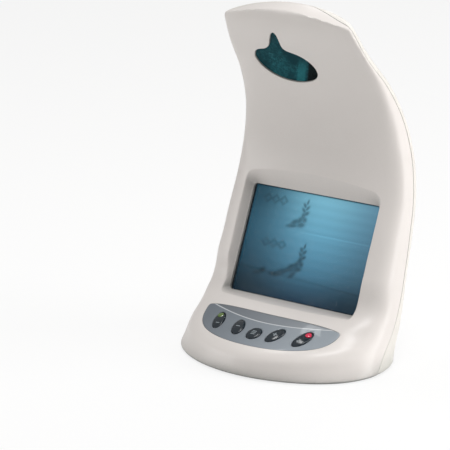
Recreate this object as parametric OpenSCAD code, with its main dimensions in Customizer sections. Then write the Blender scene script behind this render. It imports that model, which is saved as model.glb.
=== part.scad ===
// Infrared banknote viewer: a crescent body with an overhanging head, a 5 inch screen
// and five push buttons on a fascia. Millimetres, +Z up, front towards -Y.
// The origin lies on the table, under the middle of the body.

/* [Body] */
// Wall thickness of the two shells
wall = 2.5; // [2:0.1:3]
// Gap between the front and back shells along the seam
seam_gap = 0.16; // [0.1:0.02:0.3]
// Height of the shells' lower edge above the table
lift = 1.2; // [1:0.1:2]
// Points round each cross-section of the shells
ring_points = 40; // [36:4:56]

/* [Screen] */
// Width of the visible screen opening
screen_width = 104.8; // [100:0.2:106]
// Height of the visible screen opening
screen_height = 75; // [70:0.5:77]
// Lean of the screen from upright, degrees
screen_lean = 23.5; // [20:0.5:27]
// Depth of the screen opening behind the face
hood_depth = 6.5; // [5:0.1:8]
// Rise of the arched top edge of the hood
hood_arch = 10; // [6:0.5:12]

/* [Controls] */
// Half width of the grey fascia
fascia_half_width = 55; // [50:0.5:58]
// Depth of the grey fascia, front to back
fascia_depth = 34.3; // [30:0.1:36]
// Thickness of the fascia
fascia_thickness = 1.2; // [0.8:0.1:1.3]
// Slope of the buttons' common travel plane, degrees
panel_slope = 22; // [20:1:24]
// Gap round each button
button_gap = 0.3; // [0.2:0.05:0.4]

/* [Head] */
// Length of the oval filter window
window_length = 49.4; // [44:0.2:51]
// Height of the oval filter window
window_height = 25; // [22:0.2:26]
// Height of the pointed fin above the oval's centre
fin_height = 29.9; // [27:0.1:31]
// Downward aim of the camera, degrees below level
camera_aim = 50; // [45:1:55]

/* [Hidden] */

steel = [0.7, 0.7, 0.72];
bright_steel = [0.8, 0.8, 0.8];
button_black = [0.14, 0.17, 0.2];
socket_black = [0.1, 0.1, 0.1];

board_thickness = 1.6;
seat_gap = 0.05;  // between a board and what sits on it

// ---- frames ----
// Parts are drawn in a frame whose origin is mid_y in front of the body's middle.
mid_y = 5.8;
module place() translate([0, -mid_y, 0]) children();
// In these frames +Z points out of the screen, panel, head window or camera.
module on_screen() translate([0, 14.9, 71.55]) rotate([90 - screen_lean, 0, 0]) children();
module on_panel() translate([0, -30, 25.4]) rotate([panel_slope, 0, 0]) children();
module on_head() translate([-11, 17.6, 193]) rotate([115, 0, 0]) children();
module on_camera() translate([-11, 28.05, 205.1]) rotate([90 + camera_aim, 0, 0]) children();
module at_each(spots, z = 0) for (spot = spots) translate([spot[0], spot[1], z]) children();

// ---- common shapes ----
module rod(radius, bottom, height, sides = 24)
  translate([0, 0, bottom]) cylinder(r = radius, h = height, $fn = sides);
module block(corner, size) translate(corner) cube(size);
// block centred on the Z axis, from z = back to z = front
module plate(width, height, back, front)
  block([-width / 2, -height / 2, back], [width, height, front - back]);
// cross-head screw, head face at z = 0, shank towards +Z
module screw(head_radius, head_height, shank_radius, shank_length) difference() {
  union() {
    rod(head_radius, 0, head_height);
    rod(shank_radius, head_height - 0.01, shank_length, 20);
  }
  for (angle = [0, 90]) rotate([0, 0, angle])
    block([-head_radius * 0.6, -0.3, -1], [head_radius * 1.2, 0.6, 1.9]);
}
// LED barrel with a round tip
module led(radius, height) {
  rod(radius, 0, height, 28);
  translate([0, 0, height]) intersection() {
    sphere(r = radius, $fn = 28);
    block([-3, -3, 0], 6);
  }
}
// keeps a freeform part as one closed mesh; its size is unchanged
module one_mesh() resize([0, 0, 0]) children();

function rectangle(half_x, half_y) =
  [[-half_x, -half_y], [half_x, -half_y], [half_x, half_y], [-half_x, half_y]];
function oval(half_x, half_y, count = 40) =
  [for (i = [0 : count - 1]) [half_x * cos(i * 360 / count), half_y * sin(i * 360 / count)]];

// ---- body stations: [height, value] ----
half_widths = [[0, 78], [25, 76], [60, 73], [110, 70.3], [160, 62.8], [205, 55.8],
  [228, 51], [242, 47.5]];
// y of the seam, of the back and of the face on the middle plane
seam_ys = [[0, -5], [12, 4], [25, 16], [42, 26.5], [65, 35.8], [90, 43], [115, 48.8],
  [138, 50.7], [160, 46.8], [185, 33.4], [207, 14.8], [228, 3], [242, -4.5]];
back_ys = [[0, 56.5], [25, 54], [50, 52.5], [90, 65], [135, 70], [185, 51.5],
  [207, 35.8], [228, 23.5], [242, 11]];
face_ys = [[0, -58.5], [9, -57.5], [15, -54.5], [19, -48], [22, -39.5], [26, -28.7],
  [31, -18], [37, -5], [60, 7.8], [85, 18.4], [110, 28.2], [135, 32.2], [160, 29.8],
  [185, 20.9], [207, 9.8], [228, -2.8], [242, -4]];
// superellipse powers of the front and back halves of a cross-section
face_powers = [[0, 1.95], [20, 1.95], [27, 2.2], [34, 2.6], [45, 3.6], [75, 4.1],
  [110, 3.7], [150, 3.9], [190, 3.4], [242, 3.2]];
back_powers = [[0, 2.2], [150, 2.2], [190, 2.2], [228, 1.8], [242, 1.8]];
// heights of the lofted cross-sections
levels = concat([for (z = [0 : 4 : 12]) z],
  [14.5, 17, 19, 21, 23, 25, 27.5, 30, 33, 36.5, 41, 49],
  [for (z = [60 : 12 : 216]) z], [224, 232, 242]);

// smooth curve through the stations
function slot(table, z, i = 0) =
  (i >= len(table) - 2 || z < table[i + 1][0]) ? i : slot(table, z, i + 1);
function step(table, i) = table[i + 1][0] - table[i][0];
function rise(table, i) = (table[i + 1][1] - table[i][1]) / step(table, i);
function inner_tangent(table, i) =
  (step(table, i) * rise(table, i - 1) + step(table, i - 1) * rise(table, i))
  / (step(table, i - 1) + step(table, i));
function tangent(table, i) =
  i == 0 ? 2 * rise(table, 0) - inner_tangent(table, 1)
  : i == len(table) - 1 ? 2 * rise(table, i - 1) - inner_tangent(table, i - 1)
  : inner_tangent(table, i);
function value_at(table, z) =
  let (i = slot(table, z), h = step(table, i), t = (z - table[i][0]) / h)
  (2 * t^3 - 3 * t^2 + 1) * table[i][1] + (t^3 - 2 * t^2 + t) * h * tangent(table, i)
  + (3 * t^2 - 2 * t^3) * table[i + 1][1] + (t^3 - t^2) * h * tangent(table, i + 1);

// level growth that gives unit growth square to a leaning surface, limited to 3.2
function lean(table, z) = (value_at(table, z + 0.3) - value_at(table, z - 0.3)) / 0.6;
function stretch(table, z) = min(3.2, sqrt(1 + lean(table, z)^2));

// closed cross-section at height z, grown outwards
function section(z, grown, count = ring_points) =
  let (
    lean_z = max(0.4, z),
    side = value_at(half_widths, z) + grown * stretch(half_widths, lean_z),
    seam = value_at(seam_ys, z),
    face = value_at(face_ys, z) - grown * stretch(face_ys, lean_z),
    back = value_at(back_ys, z) + grown * stretch(back_ys, lean_z),
    face_power = value_at(face_powers, z),
    back_power = value_at(back_powers, z)
  )
  [for (i = [0 : count - 1])
    let (
      angle = i * 360 / count,
      power = sin(angle) < 0 ? face_power : back_power,
      reach = (abs(cos(angle))^power + abs(sin(angle))^power)^(-1 / power),
      depth = sin(angle) < 0 ? seam - face : back - seam
    )
    [side * reach * cos(angle), seam + depth * reach * sin(angle), z]];

// closed solid through rings that have equal numbers of points
module loft(rings) {
  count = len(rings[0]);
  last = len(rings) - 1;
  polyhedron(points = [for (ring = rings) for (point = ring) point], faces = concat(
    [[for (i = [0 : count - 1]) i]],
    [[for (i = [count - 1 : -1 : 0]) last * count + i]],
    [for (k = [0 : last - 1]) for (i = [0 : count - 1])
      let (a = k * count + i, b = k * count + (i + 1) % count)
      each [[a, a + count, b], [b, a + count, b + count]]]), convexity = 6);
}

// domed roof: the round-rimmed top of a thick wheel lying across the head
roof_top = 238.5;
roof_radius = 160;
roof_rim = 70;
roof_y = 15.5;
module crown(grown)
  translate([0, roof_y, roof_top - roof_radius]) rotate([90, 0, 0])
  rotate_extrude($fn = 128) intersection() {
    union() {
      translate([roof_radius - roof_rim, 0]) circle(r = roof_rim + grown, $fn = 128);
      translate([0, -roof_rim - grown])
        square([roof_radius - roof_rim, 2 * (roof_rim + grown)]);
    }
    translate([0, -200]) square([400, 400]);
  }

// whole body, grown outwards and cut level at floor_z
module body(grown, floor_z) intersection() {
  loft(concat([[for (p = section(levels[0], grown)) [p[0], p[1], floor_z]]],
    [for (z = levels) if (z > floor_z + 0.5) section(z, grown)]));
  union() {
    block([-90, -90, -10], [180, 180, 212]);
    crown(grown);
  }
}

// everything in front of the seam and up to shift behind it
seam_top = 224;        // above this the seam is a wave seen from above
seam_wave_half = 51;   // half width of the wave
seam_wave_y = 4.4;
module front_zone(shift) {
  rotate([90, 0, 90]) translate([0, 0, -90]) linear_extrude(180) polygon(concat(
    [[-90, -10]],
    [for (z = [-10 : 3 : seam_top]) [value_at(seam_ys, max(0, z)) + shift, z]],
    [[value_at(seam_ys, seam_top) + shift, seam_top + 0.5], [-90, seam_top + 0.5]]));
  translate([0, 0, seam_top]) linear_extrude(30) polygon(concat(
    [[90, -90], [90, seam_wave_y + shift]],
    [for (x = [seam_wave_half : -3 : -seam_wave_half])
      [x, seam_wave_y + 5.6 * (1 + cos(180 * x / seam_wave_half)) + shift]],
    [[-90, seam_wave_y + shift], [-90, -90]]));
}

// ---- screen opening ----
function hood_outline(grown) =
  let (rise = hood_arch + 1.3 + grown, corner = 11.5 + grown)
  concat([[-55.5 - grown, -42 - grown], [55.5 + grown, -42 - grown], [60 + grown, 28]],
    [for (t = [0 : 16 : 80]) [48 + corner * cos(t), 38 + rise * sin(t)]],
    [[0, 39.5 + rise]],
    [for (t = [100 : 16 : 180]) [-48 + corner * cos(t), 38 + rise * sin(t)]],
    [[-60 - grown, 28]]);
module sheet(points, z) translate([0, 0, z]) linear_extrude(0.01) polygon(points);
module hood(grown = 0) hull() {
  sheet(rectangle(screen_width / 2 + grown, screen_height / 2 + grown),
    -hood_depth - (grown > 0 ? 1.5 : 0));
  sheet(hood_outline(grown), 6);
}

// ---- filter window: tilted oval with a pointed fin ----
// x, y of the fin's edge, for a fin fin_table_height high
fin_table_height = 29.9;
fin = [[4.7, 13.7], [1.9, 15.5], [0.9, 18], [0.9, 21.7], [1.1, 26], [0.7, 28.9],
  [-0.3, 29.9], [-1.6, 29.1], [-3.7, 26.6], [-6.2, 22.2], [-8.4, 17.9], [-10.9, 15]];
window_tilt = -8;
function tilted(x, y) = [x * cos(window_tilt) - y * sin(window_tilt) - 0.4,
  x * sin(window_tilt) + y * cos(window_tilt) + 1.5];
// the upper half of the oval is 1.12 times as tall as the lower
function window_rim(angle) = tilted(window_length / 2 * cos(angle),
  (angle > 0 ? 1.12 : 1) * window_height / 2.12 * sin(angle));
// moves each point of an anticlockwise outline outwards
function grow(points, distance) = let (count = len(points))
  [for (i = [0 : count - 1])
    let (along = points[(i + 1) % count] - points[(i + count - 1) % count])
    points[i] + distance * [along[1], -along[0]] / norm(along)];
function window_outline(grown) = grow(concat(
  [for (angle = [-180 : 9 : 72]) window_rim(angle)],
  [for (p = fin) [p[0], p[1] * fin_height / fin_table_height]],
  [for (angle = [126 : 9 : 171]) window_rim(angle)]), grown);

// ---- fascia and buttons ----
// half an oval in front, a shallow hollow curve at the back
function fascia_outline(grown) =
  let (half = fascia_half_width + grown, depth = fascia_depth + grown,
    back_y = -13.3 + 0.35 * grown)
  concat(
    [for (t = [180 : 7.5 : 360]) [half * cos(t), back_y + depth * sin(t)]],
    [for (i = [1 : 11]) let (x = half * (1 - i / 6))
      [x, back_y + grown - 3.4 * (1 - (x / half)^2)]]);
module fascia_prism(grown)
  translate([0, 0, 5]) linear_extrude(60) polygon(fascia_outline(grown));

// x, y, dome level, half width, half length, turn in degrees, flange top
buttons = [
  [-34.8, 0.8, -1.8, 4.2, 8.6, 20, -5.7],
  [-15.4, -2.9, -0.25, 4.3, 7.9, 21, -4],
  [0, -5.9, 0.1, 5.1, 5.9, 0, -3.9],
  [15.4, -2.9, -0.25, 4.3, 7.9, -21, -4],
  [34.8, 0.8, -1.8, 4.2, 8.6, -20, -5.7]];
outer_buttons = [buttons[0], buttons[4]];
function is_outer(key) = abs(key[0]) > 30;
function dome_level(key) = key[2];
function key_outline(key, grown) = oval(key[3] + grown, key[4] + grown);
function key_turn(key) = key[5];
function flange_top(key) = key[6];
module at_button(key)
  on_panel() translate([key[0], key[1], 0]) rotate([0, 0, key_turn(key)]) children();
module button_holes() for (key = buttons) at_button(key)
  translate([0, 0, -9]) linear_extrude(20) polygon(key_outline(key, button_gap));

// ---- fixing places ----
// half spacing in x, height, distance behind the seam
shell_bolts = [[56, 118, 0], [44, 178, 0], [34, 213, 4]];
module at_shell_bolts() for (bolt = shell_bolts) for (side = [-1, 1])
  translate([side * bolt[0], value_at(seam_ys, bolt[1]) + bolt[2], bolt[1]])
    rotate([-90, 0, 0]) children();
front_base_bolts = [[-54, -22], [54, -22], [0, -44]];
back_base_bolts = [[-57, 30], [57, 30]];
base_bolts = concat(front_base_bolts, back_base_bolts);
clip_spots = [for (x = [-62.4, 62.4]) for (y = [-25, 25]) [x, y]];
foot_spots = [[-44, -31], [44, -31], [-44, 36], [44, 36]];
board_bolts = [for (x = [-42, 42]) for (y = [-2, 40]) [x, y]];
button_board_holes = [[-25, 4], [25, 4]];
head_bolts = [[-21.5, 0.5], [19.5, 0.5]];

// ---- sockets on the back of the foot ----
power_x = 30;
video_x = -30;
power_radius = 5.2;
video_radius = 4.2;
socket_gap = 0.2;
module at_socket(x, y) translate([x, y, 15]) rotate([-90, 0, 0]) children();
module socket(x, width, radius, bore) at_socket(x, 52.4) difference() {
  union() {
    block([-width / 2, -4.3, -13.5], [width, 8.6, 9]);
    rod(radius, -4.6, 4.2, 40);
  }
  rod(bore, -10, 20, 40);
}

// ---- shells ----
module front_shell() color([0.86, 0.84, 0.82]) place() one_mesh() difference() {
  union() {
    difference() {
      intersection() {
        body(0, lift);
        front_zone(-seam_gap / 2);
      }
      body(-wall, -1);
    }
    // screen hood
    intersection() {
      body(-0.3, lift + 1);
      on_screen() hood(2);
      front_zone(-1);
    }
    // bosses for the shell, base and clip screws
    intersection() {
      body(-1, 6);
      union() {
        at_shell_bolts() rod(3.4, -30, 30.8, 20);
        at_each(front_base_bolts) rod(3.6, 4.6, 30, 20);
        on_screen() at_each(clip_spots) rod(2.9, -16.6, 20, 20);
      }
      front_zone(5);
    }
  }
  on_screen() hood();
  on_screen() translate([0, 0, -12])
    linear_extrude(8) polygon(rectangle(screen_width / 2, screen_height / 2));
  // room behind the screen lip
  on_screen() block([-59.2, -46.5, -30], [118.4, 93, 22]);
  on_screen() at_each(clip_spots) rod(1.25, -17, 8, 16);
  on_head() translate([0, 0, -9]) linear_extrude(18) polygon(window_outline(0));
  // recess for the fascia
  intersection() {
    fascia_prism(0);
    difference() {
      body(4, 1);
      body(-fascia_thickness - 0.22, 0);
    }
  }
  button_holes();
  at_shell_bolts() rod(1.55, -6.5, 9, 16);
  at_each(base_bolts) rod(1.5, 0, 14, 16);
}

module cooling_slots()
  for (side = [-1, 1]) for (k = [0 : 6])
    translate([side * 24, 40, 62 + 6.5 * k]) rotate([90, 0, 0])
      translate([0, 0, -40]) linear_extrude(38) union() {
        square([24, 2.4], center = true);
        for (x = [-12, 12]) translate([x, 0]) circle(d = 2.4, $fn = 8);
      }

module back_shell() color([0.88, 0.87, 0.84]) place() one_mesh() difference() {
  union() {
    difference() {
      difference() {
        body(0, lift);
        front_zone(seam_gap / 2);
      }
      body(-wall, -1);
    }
    // screw bosses; those for the base are tied to the side walls
    intersection() {
      body(-1, 6);
      union() {
        at_shell_bolts() rod(4.8, 1, 60);
        difference() {
          for (bolt = back_base_bolts) translate([bolt[0], bolt[1], 4.6]) {
            rod(3.6, 0, 14, 20);
            block([bolt[0] > 0 ? 0 : -14, -1, 0], [14, 10, 14]);
          }
          front_zone(1);
        }
      }
    }
  }
  at_shell_bolts() {
    rod(1.7, 0, 40, 16);
    rod(3.3, 3.2, 60);
  }
  at_each(base_bolts) rod(1.5, 0, 14, 16);
  cooling_slots();
  at_socket(power_x, 30) rod(power_radius + socket_gap, 0, 40, 28);
  at_socket(video_x, 30) rod(video_radius + socket_gap, 0, 40, 28);
}

module base_plate() color([0.2, 0.2, 0.21]) place() difference() {
  union() {
    translate([0, 0, 1.7]) linear_extrude(2.6)
      polygon([for (p = section(4, -wall - 0.5, 64)) [p[0], p[1]]]);
    at_each(board_bolts) rod(3, 3, 5.95);
  }
  at_each(board_bolts) rod(1.55, 4.8, 9);
  at_each(foot_spots) rod(6.6, 1, 1.9, 40);
  at_each(base_bolts) {
    rod(1.7, 0, 9);
    rod(3.2, 1.6, 1.3);
  }
  // slots towards the back
  for (side = [-1, 1]) for (k = [-1 : 1])
    block([side * 18 - 9, 42 + 3.6 * k - 1, 0], [18, 1.8, 9]);
}
module rubber_feet() color([0.12, 0.12, 0.12]) place() at_each(foot_spots) difference() {
  rod(6.4, 0, 2.8, 40);
  rod(2.4, -1, 1.8);
}
module base_screws() color(steel) place() at_each(base_bolts, 1.65) screw(2.9, 1.2, 1.42, 9);
module shell_screws() color(steel) place()
  at_shell_bolts() translate([0, 0, 5.4]) rotate([180, 0, 0]) screw(2.9, 2.1, 1.42, 8);
module ballast_weight() color([0.45, 0.45, 0.48]) place() difference() {
  block([-37, -7, 4.4], [74, 40, 3.9]);
  at_each([[-30, 13], [30, 13]]) rod(2, 0, 20);
}

// ---- screen module ----
lcd_width = 112.3;
lcd_height = 84.3;
driver_board_back = -21.2;
module screen_window() color([0.75, 0.85, 0.9, 0.4]) place()
  on_screen() plate(108, 79, -9.1, -8.1);
module lcd_frame() color([0.75, 0.76, 0.78]) place() on_screen() difference() {
  plate(117.4, 89.4, -16.6, -9.2);
  plate(lcd_width + 0.3, lcd_height + 0.3, -17, -9.8);
  plate(104, 78, -12, -9);
}
module lcd_glass() color([0.25, 0.4, 0.48]) place()
  on_screen() plate(lcd_width, lcd_height, -12.2, -9.9);
module backlight() color([0.93, 0.94, 0.95]) place() on_screen() difference() {
  plate(lcd_width, lcd_height, -16.5, -12.3);
  translate([50, 0, 0]) rod(2, -17, 2);
}
module lcd_clips() color(steel) place() on_screen() for (spot = clip_spots) difference() {
  block([spot[0] - (spot[0] > 0 ? 10 : 3.2), spot[1] - 4.5, -17.75], [13.2, 9, 1.1]);
  translate([spot[0], spot[1], 0]) rod(1.4, -20, 5);
}
module clip_screws() color(bright_steel) place()
  on_screen() at_each(clip_spots, -19.1) screw(2.4, 1.3, 1.15, 7);
module screen_driver_board() color([0.1, 0.4, 0.22]) place() on_screen() difference() {
  plate(96, 66, driver_board_back, driver_board_back + board_thickness);
  at_each(rectangle(44, 29)) rod(1.6, -22, 4);
}
module driver_board_chips() color([0.12, 0.12, 0.13]) place() on_screen() {
  seat = driver_board_back - seat_gap;
  plate(14, 14, -22.9, seat);
  translate([26, 12, 0]) plate(8, 18, -23.3, seat);
  translate([-28, 10, 0]) plate(12, 8, -23.1, seat);
  for (k = [0 : 4]) translate([-34 + 9 * k, -22, 0]) rod(2.5, -26.3, 5.05);
  translate([30, -20, 0]) plate(16, 5, -25.3, seat);
}

// ---- main board in the foot ----
main_board_z = 9;
main_seat_z = main_board_z + board_thickness + seat_gap;
module main_board() color([0.08, 0.38, 0.2]) place() difference() {
  block([-46, -6, main_board_z], [92, 50, board_thickness]);
  at_each(board_bolts) rod(1.6, 5, 9);
}
module main_board_parts() color([0.13, 0.13, 0.14]) place() translate([0, 0, main_seat_z]) {
  block([-9, 6, 0], [16, 16, 2]);
  block([14, 14, 0], [9, 7, 2]);
  block([-30, 4, 0], [11, 14, 3]);
  for (k = [0 : 2]) translate([34, 6 + 9 * k, 0]) rod(3.1, 0, 7, 28);
  block([-40, 28, 0], [6, 10, 5]);
  block([0, 32, 0], [18, 5, 5]);
  for (k = [0 : 4]) block([-12 + 4 * k, -3, 0], [2, 1.2, 1]);
}
module board_screws() color(bright_steel) place()
  at_each(board_bolts, main_seat_z + 1.4) rotate([180, 0, 0]) screw(2.8, 1.4, 1.45, 4.6);

// ---- controls ----
module control_fascia() color([0.55, 0.58, 0.61]) place() one_mesh() difference() {
  intersection() {
    fascia_prism(-0.2);
    difference() {
      body(0, 1);
      body(-fascia_thickness, 0);
    }
  }
  button_holes();
}

lamp_offset = 5.1;             // lens centre along an outer button's long axis
led_offset = lamp_offset + 0.4;
dome_radius = 34;
flange_thickness = 1.1;
button_board_z = -13.1;
button_seat_z = button_board_z + board_thickness + seat_gap;
// domed cap on a wider flange, with a round stem below
module button(key) place() at_button(key) difference() {
  union() {
    intersection() {
      translate([0, 0, flange_top(key) - 0.5]) linear_extrude(12) polygon(key_outline(key, 0));
      rotate([0, 0, -key_turn(key)])
        translate([-0.13 * dome_radius * sign(key[0]) * (is_outer(key) ? 1 : 0.5),
          is_outer(key) ? 1 : 0, dome_level(key) + 1.15 - dome_radius])
        sphere(r = dome_radius, $fn = 64);
    }
    translate([0, 0, flange_top(key) - flange_thickness])
      linear_extrude(flange_thickness) polygon(key_outline(key, 1.1));
    rod(2.6, -6.9, flange_top(key) + 6.5, 28);
  }
  if (is_outer(key)) translate([0, lamp_offset, 0]) rod(2.15, -12, 20, 32);
}
module lens(key) place() at_button(key) translate([0, lamp_offset, 0]) intersection() {
  rod(2.1, -6.5, 12, 32);
  translate([0, 0, dome_level(key) + 1 - 9]) sphere(r = 9, $fn = 48);
}
module button_1() color(button_black) button(buttons[0]);
module button_2() color(button_black) button(buttons[1]);
module button_3() color(button_black) button(buttons[2]);
module button_4() color(button_black) button(buttons[3]);
module button_5() color(button_black) button(buttons[4]);
module green_lens() color([0.4, 0.75, 0.15]) lens(buttons[0]);
module red_lens() color([0.85, 0.1, 0.25]) lens(buttons[4]);
module button_board() color([0.1, 0.4, 0.22]) place() on_panel() difference() {
  block([-42, -12, button_board_z], [84, 21, board_thickness]);
  at_each(button_board_holes) rod(1.6, -15, 5);
}
module tact_switches() color([0.25, 0.25, 0.27]) place()
  for (key = buttons) at_button(key) {
    block([-3, -3, button_seat_z], [6, 6, 3.1]);
    rod(1.7, -8.4, 0.65, 28);
  }
module indicator_leds() color([0.8, 0.85, 0.8]) place()
  for (key = outer_buttons) at_button(key)
    translate([0, led_offset, button_seat_z]) led(1.5, 2.6);
// sheet with a ring round each switch and holes for the LEDs
module return_pad() color([0.75, 0.75, 0.72]) place() on_panel() difference() {
  union() {
    block([-41, -11.2, -11.4], [82, 19.6, 0.7]);
    for (key = buttons) translate([key[0], key[1], 0])
      rod(5.2, -10.8, is_outer(key) ? 2.6 : 2.9, 36);
  }
  at_each(buttons) rod(4.4, -12, 9, 36);
  for (key = outer_buttons)
    translate([key[0] - led_offset * sin(key_turn(key)),
      key[1] + led_offset * cos(key_turn(key)), 0]) rod(2.2, -12, 9, 28);
  at_each(button_board_holes) rod(1.6, -15, 9);
}

// ---- optics in the head ----
led_board_z = -13.6;
led_board_thickness = 1.2;
bracket_z = -15.1;
led_spots = [for (side = [-1, 1])
  each [[side * 19.6, -2.6], [side * 12.4, -4.4], [side * 12.4, 4.6], [side * 19.4, 4.2]]];
module ir_window() color([0.05, 0.3, 0.32, 0.8]) place() on_head() {
  translate([0, 0, -5.8]) linear_extrude(1.4) polygon(window_outline(1.6));
  translate([0, 0, -4.5]) linear_extrude(3.1) polygon(window_outline(-0.12));
}
module camera_bracket() color([0.72, 0.72, 0.74]) place() on_head() difference() {
  union() {
    block([-24, -9, bracket_z], [46, 15, 1.1]);
    for (x = [-10.2, 9]) block([x, -4, -18], [1.2, 10, 3.6]);
  }
  block([-8.9, -4.6, -20], [17.8, 30, 9]);
  at_each(head_bolts) rod(1.3, -18, 8);
}
module camera_board() color([0.1, 0.35, 0.2]) place() on_camera() difference() {
  block([-8, -8, -1.25], [16, 16, 1.2]);
  at_each([[-6.6, -6.6], [6.6, -6.6]]) rod(0.8, -4, 5, 20);
}
module lens_holder() color([0.08, 0.08, 0.09]) place() on_camera() difference() {
  union() {
    block([-5.5, -5.5, 0], [11, 11, 3]);
    rod(4.4, 0, 7, 40);
  }
  rod(3.45, 0.8, 20, 40);
}
module camera_lens() color([0.2, 0.25, 0.4]) place() on_camera() intersection() {
  rod(3.4, 1.2, 8, 40);
  translate([0, 0, 6.7 - 9]) sphere(r = 9, $fn = 60);
}
module ir_led_board() color([0.1, 0.35, 0.2]) place() on_head() difference() {
  block([-24, -8.5, led_board_z], [48, 17, led_board_thickness]);
  block([-8.9, -16, -15], [17.8, 34, 3]);
  at_each(head_bolts) rod(1.3, -18, 8);
}
module ir_leds() color([0.15, 0.15, 0.25]) place() on_head()
  at_each(led_spots, led_board_z + led_board_thickness + seat_gap) {
    rod(2.8, 0, 1, 28);
    led(2.4, 3.6);
  }
module head_screws() color(bright_steel) place() on_head()
  at_each(head_bolts, bracket_z - seat_gap - 1.1) screw(2.1, 1.1, 1.2, 2.7);

module power_socket() color(socket_black) place() socket(power_x, 10, power_radius, 2.85);
module video_socket() color(socket_black) place() socket(video_x, 9, video_radius, 1.8);

// ---- cables ----
module cable(points, width, thickness) for (i = [0 : len(points) - 2]) hull()
  for (k = [0, 1]) translate(points[i + k]) cube([width, thickness, thickness], center = true);
module screen_ribbon() color([0.8, 0.75, 0.5]) place()
  cable([[10, 34.6, 17.2], [14, 41, 26], [26, 40, 38], [30, 34.5, 45.5]], 14, 0.6);
module camera_cable() color([0.85, 0.85, 0.85]) place()
  cable([[-37, 33, 17.5], [-42, 42, 30], [-42, 47, 70], [-42, 56, 110], [-42, 55, 140],
    [-32, 44, 168], [-21, 37.4, 187], [-15, 34.5, 196.4]], 3, 1.4);
module button_cable() color([0.75, 0.75, 0.75]) place()
  cable([[-4, -30.2, 9.8], [-4, -14, 6.5], [-4, -9, 12.5], [-4, 0, 13.5]], 10, 0.8);

front_shell();
back_shell();
base_plate();
rubber_feet();
base_screws();
shell_screws();
ballast_weight();
screen_window();
lcd_frame();
lcd_glass();
backlight();
lcd_clips();
clip_screws();
screen_driver_board();
driver_board_chips();
main_board();
main_board_parts();
board_screws();
control_fascia();
button_1();
button_2();
button_3();
button_4();
button_5();
green_lens();
red_lens();
button_board();
tact_switches();
indicator_leds();
return_pad();
ir_window();
camera_bracket();
camera_board();
lens_holder();
camera_lens();
ir_led_board();
ir_leds();
head_screws();
power_socket();
video_socket();
screen_ribbon();
camera_cable();
button_cable();
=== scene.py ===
"""An infrared banknote viewer: a tall casing with a hooded screen, a filter window above it
and a curved strip of five buttons on its sloping foot.

Lengths are millimetres in the design frame: x to the right, y to the back, z up, so the
screen faces -y. emit() moves y = MID_Y to the origin and turns millimetres into metres.
"""
import bpy
import math
import numpy as np
from mathutils import Vector, Matrix
from mathutils.geometry import delaunay_2d_cdt


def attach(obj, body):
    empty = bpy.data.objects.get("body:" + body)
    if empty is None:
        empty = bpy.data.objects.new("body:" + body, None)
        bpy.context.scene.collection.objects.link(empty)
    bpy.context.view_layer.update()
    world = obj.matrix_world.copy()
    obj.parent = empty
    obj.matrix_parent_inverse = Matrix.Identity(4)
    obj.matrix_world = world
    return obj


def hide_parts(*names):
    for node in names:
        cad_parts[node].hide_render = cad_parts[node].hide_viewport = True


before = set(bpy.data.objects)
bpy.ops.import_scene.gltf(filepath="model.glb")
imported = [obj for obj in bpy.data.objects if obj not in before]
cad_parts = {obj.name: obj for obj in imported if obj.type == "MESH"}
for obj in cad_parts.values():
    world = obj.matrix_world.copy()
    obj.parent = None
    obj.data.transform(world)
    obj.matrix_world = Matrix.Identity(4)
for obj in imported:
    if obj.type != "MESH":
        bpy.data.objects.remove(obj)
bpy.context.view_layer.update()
scene = bpy.context.scene

MID_Y = 5.8         # design y that becomes the origin
LIFT = 1.2          # height of the shells' lower edge
WALL = 2.2          # thickness of the shells

# ------------------------------------------------------------------ stations of the casing
# Each table holds (height z, value). A section is a superellipse, split at the seam.
HALF_WIDTH = [[0, 78], [25, 76], [60, 73], [110, 70.3], [160, 62.8], [205, 55.8], [228, 51],
              [242, 47.5]]
SEAM_Y = [[0, -5], [12, 4], [25, 16], [42, 26.5], [65, 35.8], [90, 43], [115, 48.8],
          [138, 50.7], [160, 46.8], [185, 33.4], [207, 14.8], [228, 3], [242, -4.5]]
BACK_Y = [[0, 56.5], [25, 54], [50, 52.5], [90, 65], [135, 70], [185, 51.5], [207, 35.8],
          [228, 23.5], [242, 11]]
FRONT_Y = [[0, -58.5], [9, -57.5], [15, -54.5], [19, -48], [22, -39.5], [26, -28.7],
           [31, -18], [37, -5], [60, 7.8], [85, 18.4], [110, 28.2], [135, 32.2],
           [160, 29.8], [185, 20.9], [207, 9.8], [228, -2.8], [242, -4]]
FRONT_POWER = [[0, 1.95], [20, 1.95], [27, 2.2], [34, 2.6], [45, 3.6], [75, 4.1],
               [110, 3.7], [150, 3.9], [190, 3.4], [242, 3.2]]
BACK_POWER = [[0, 2.2], [150, 2.2], [190, 2.2], [228, 1.8], [242, 1.8]]

# the roof: an arc along y swept along a wider arc across x
ROOF_TOP = 238.5
ROOF_CROWN_Y = 15.5
ROOF_RADIUS_Y = 70.0
ROOF_RADIUS_X = 160

# rounding between wall and roof: tight in front, softer behind the seam
ROUND_FRONT = 3.2
ROUND_EXTRA = 3.6
ROUND_HALF_X = 53.0     # the extra softness fades out at this x
ROUND_LEAD = 2.0        # it starts this far in front of the seam
ROUND_LENGTH = 12.0     # and is full after this length

# the seam between the shells
SEAM_R = 0.45
SEAM_OFF = 0.16 + SEAM_R    # half the gap, plus the rounded edge
SEAM_END_X = 49.5           # where the seam leaves the wall for the roof
SEAM_END_Z = 227.8
SEAM_CROWN_Y = 13.2
FOOT_R = 1.2                # rounding of the lower edge
FOOT_BLEND_Z = LIFT + 2.4   # above this height the edge has the seam's rounding

# the shells' grids
HEAD_Z = 220.0                              # above this, rows are cast from HEAD_CENTRE
HEAD_CENTRE = np.array([0, 14.0, 212.0])
HEAD_ROWS = 26
SEAM_HALF_X = 47.8                          # half the roof seam's length
HALF_X = 108.0                              # half the width of a shell's flat domain


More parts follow.
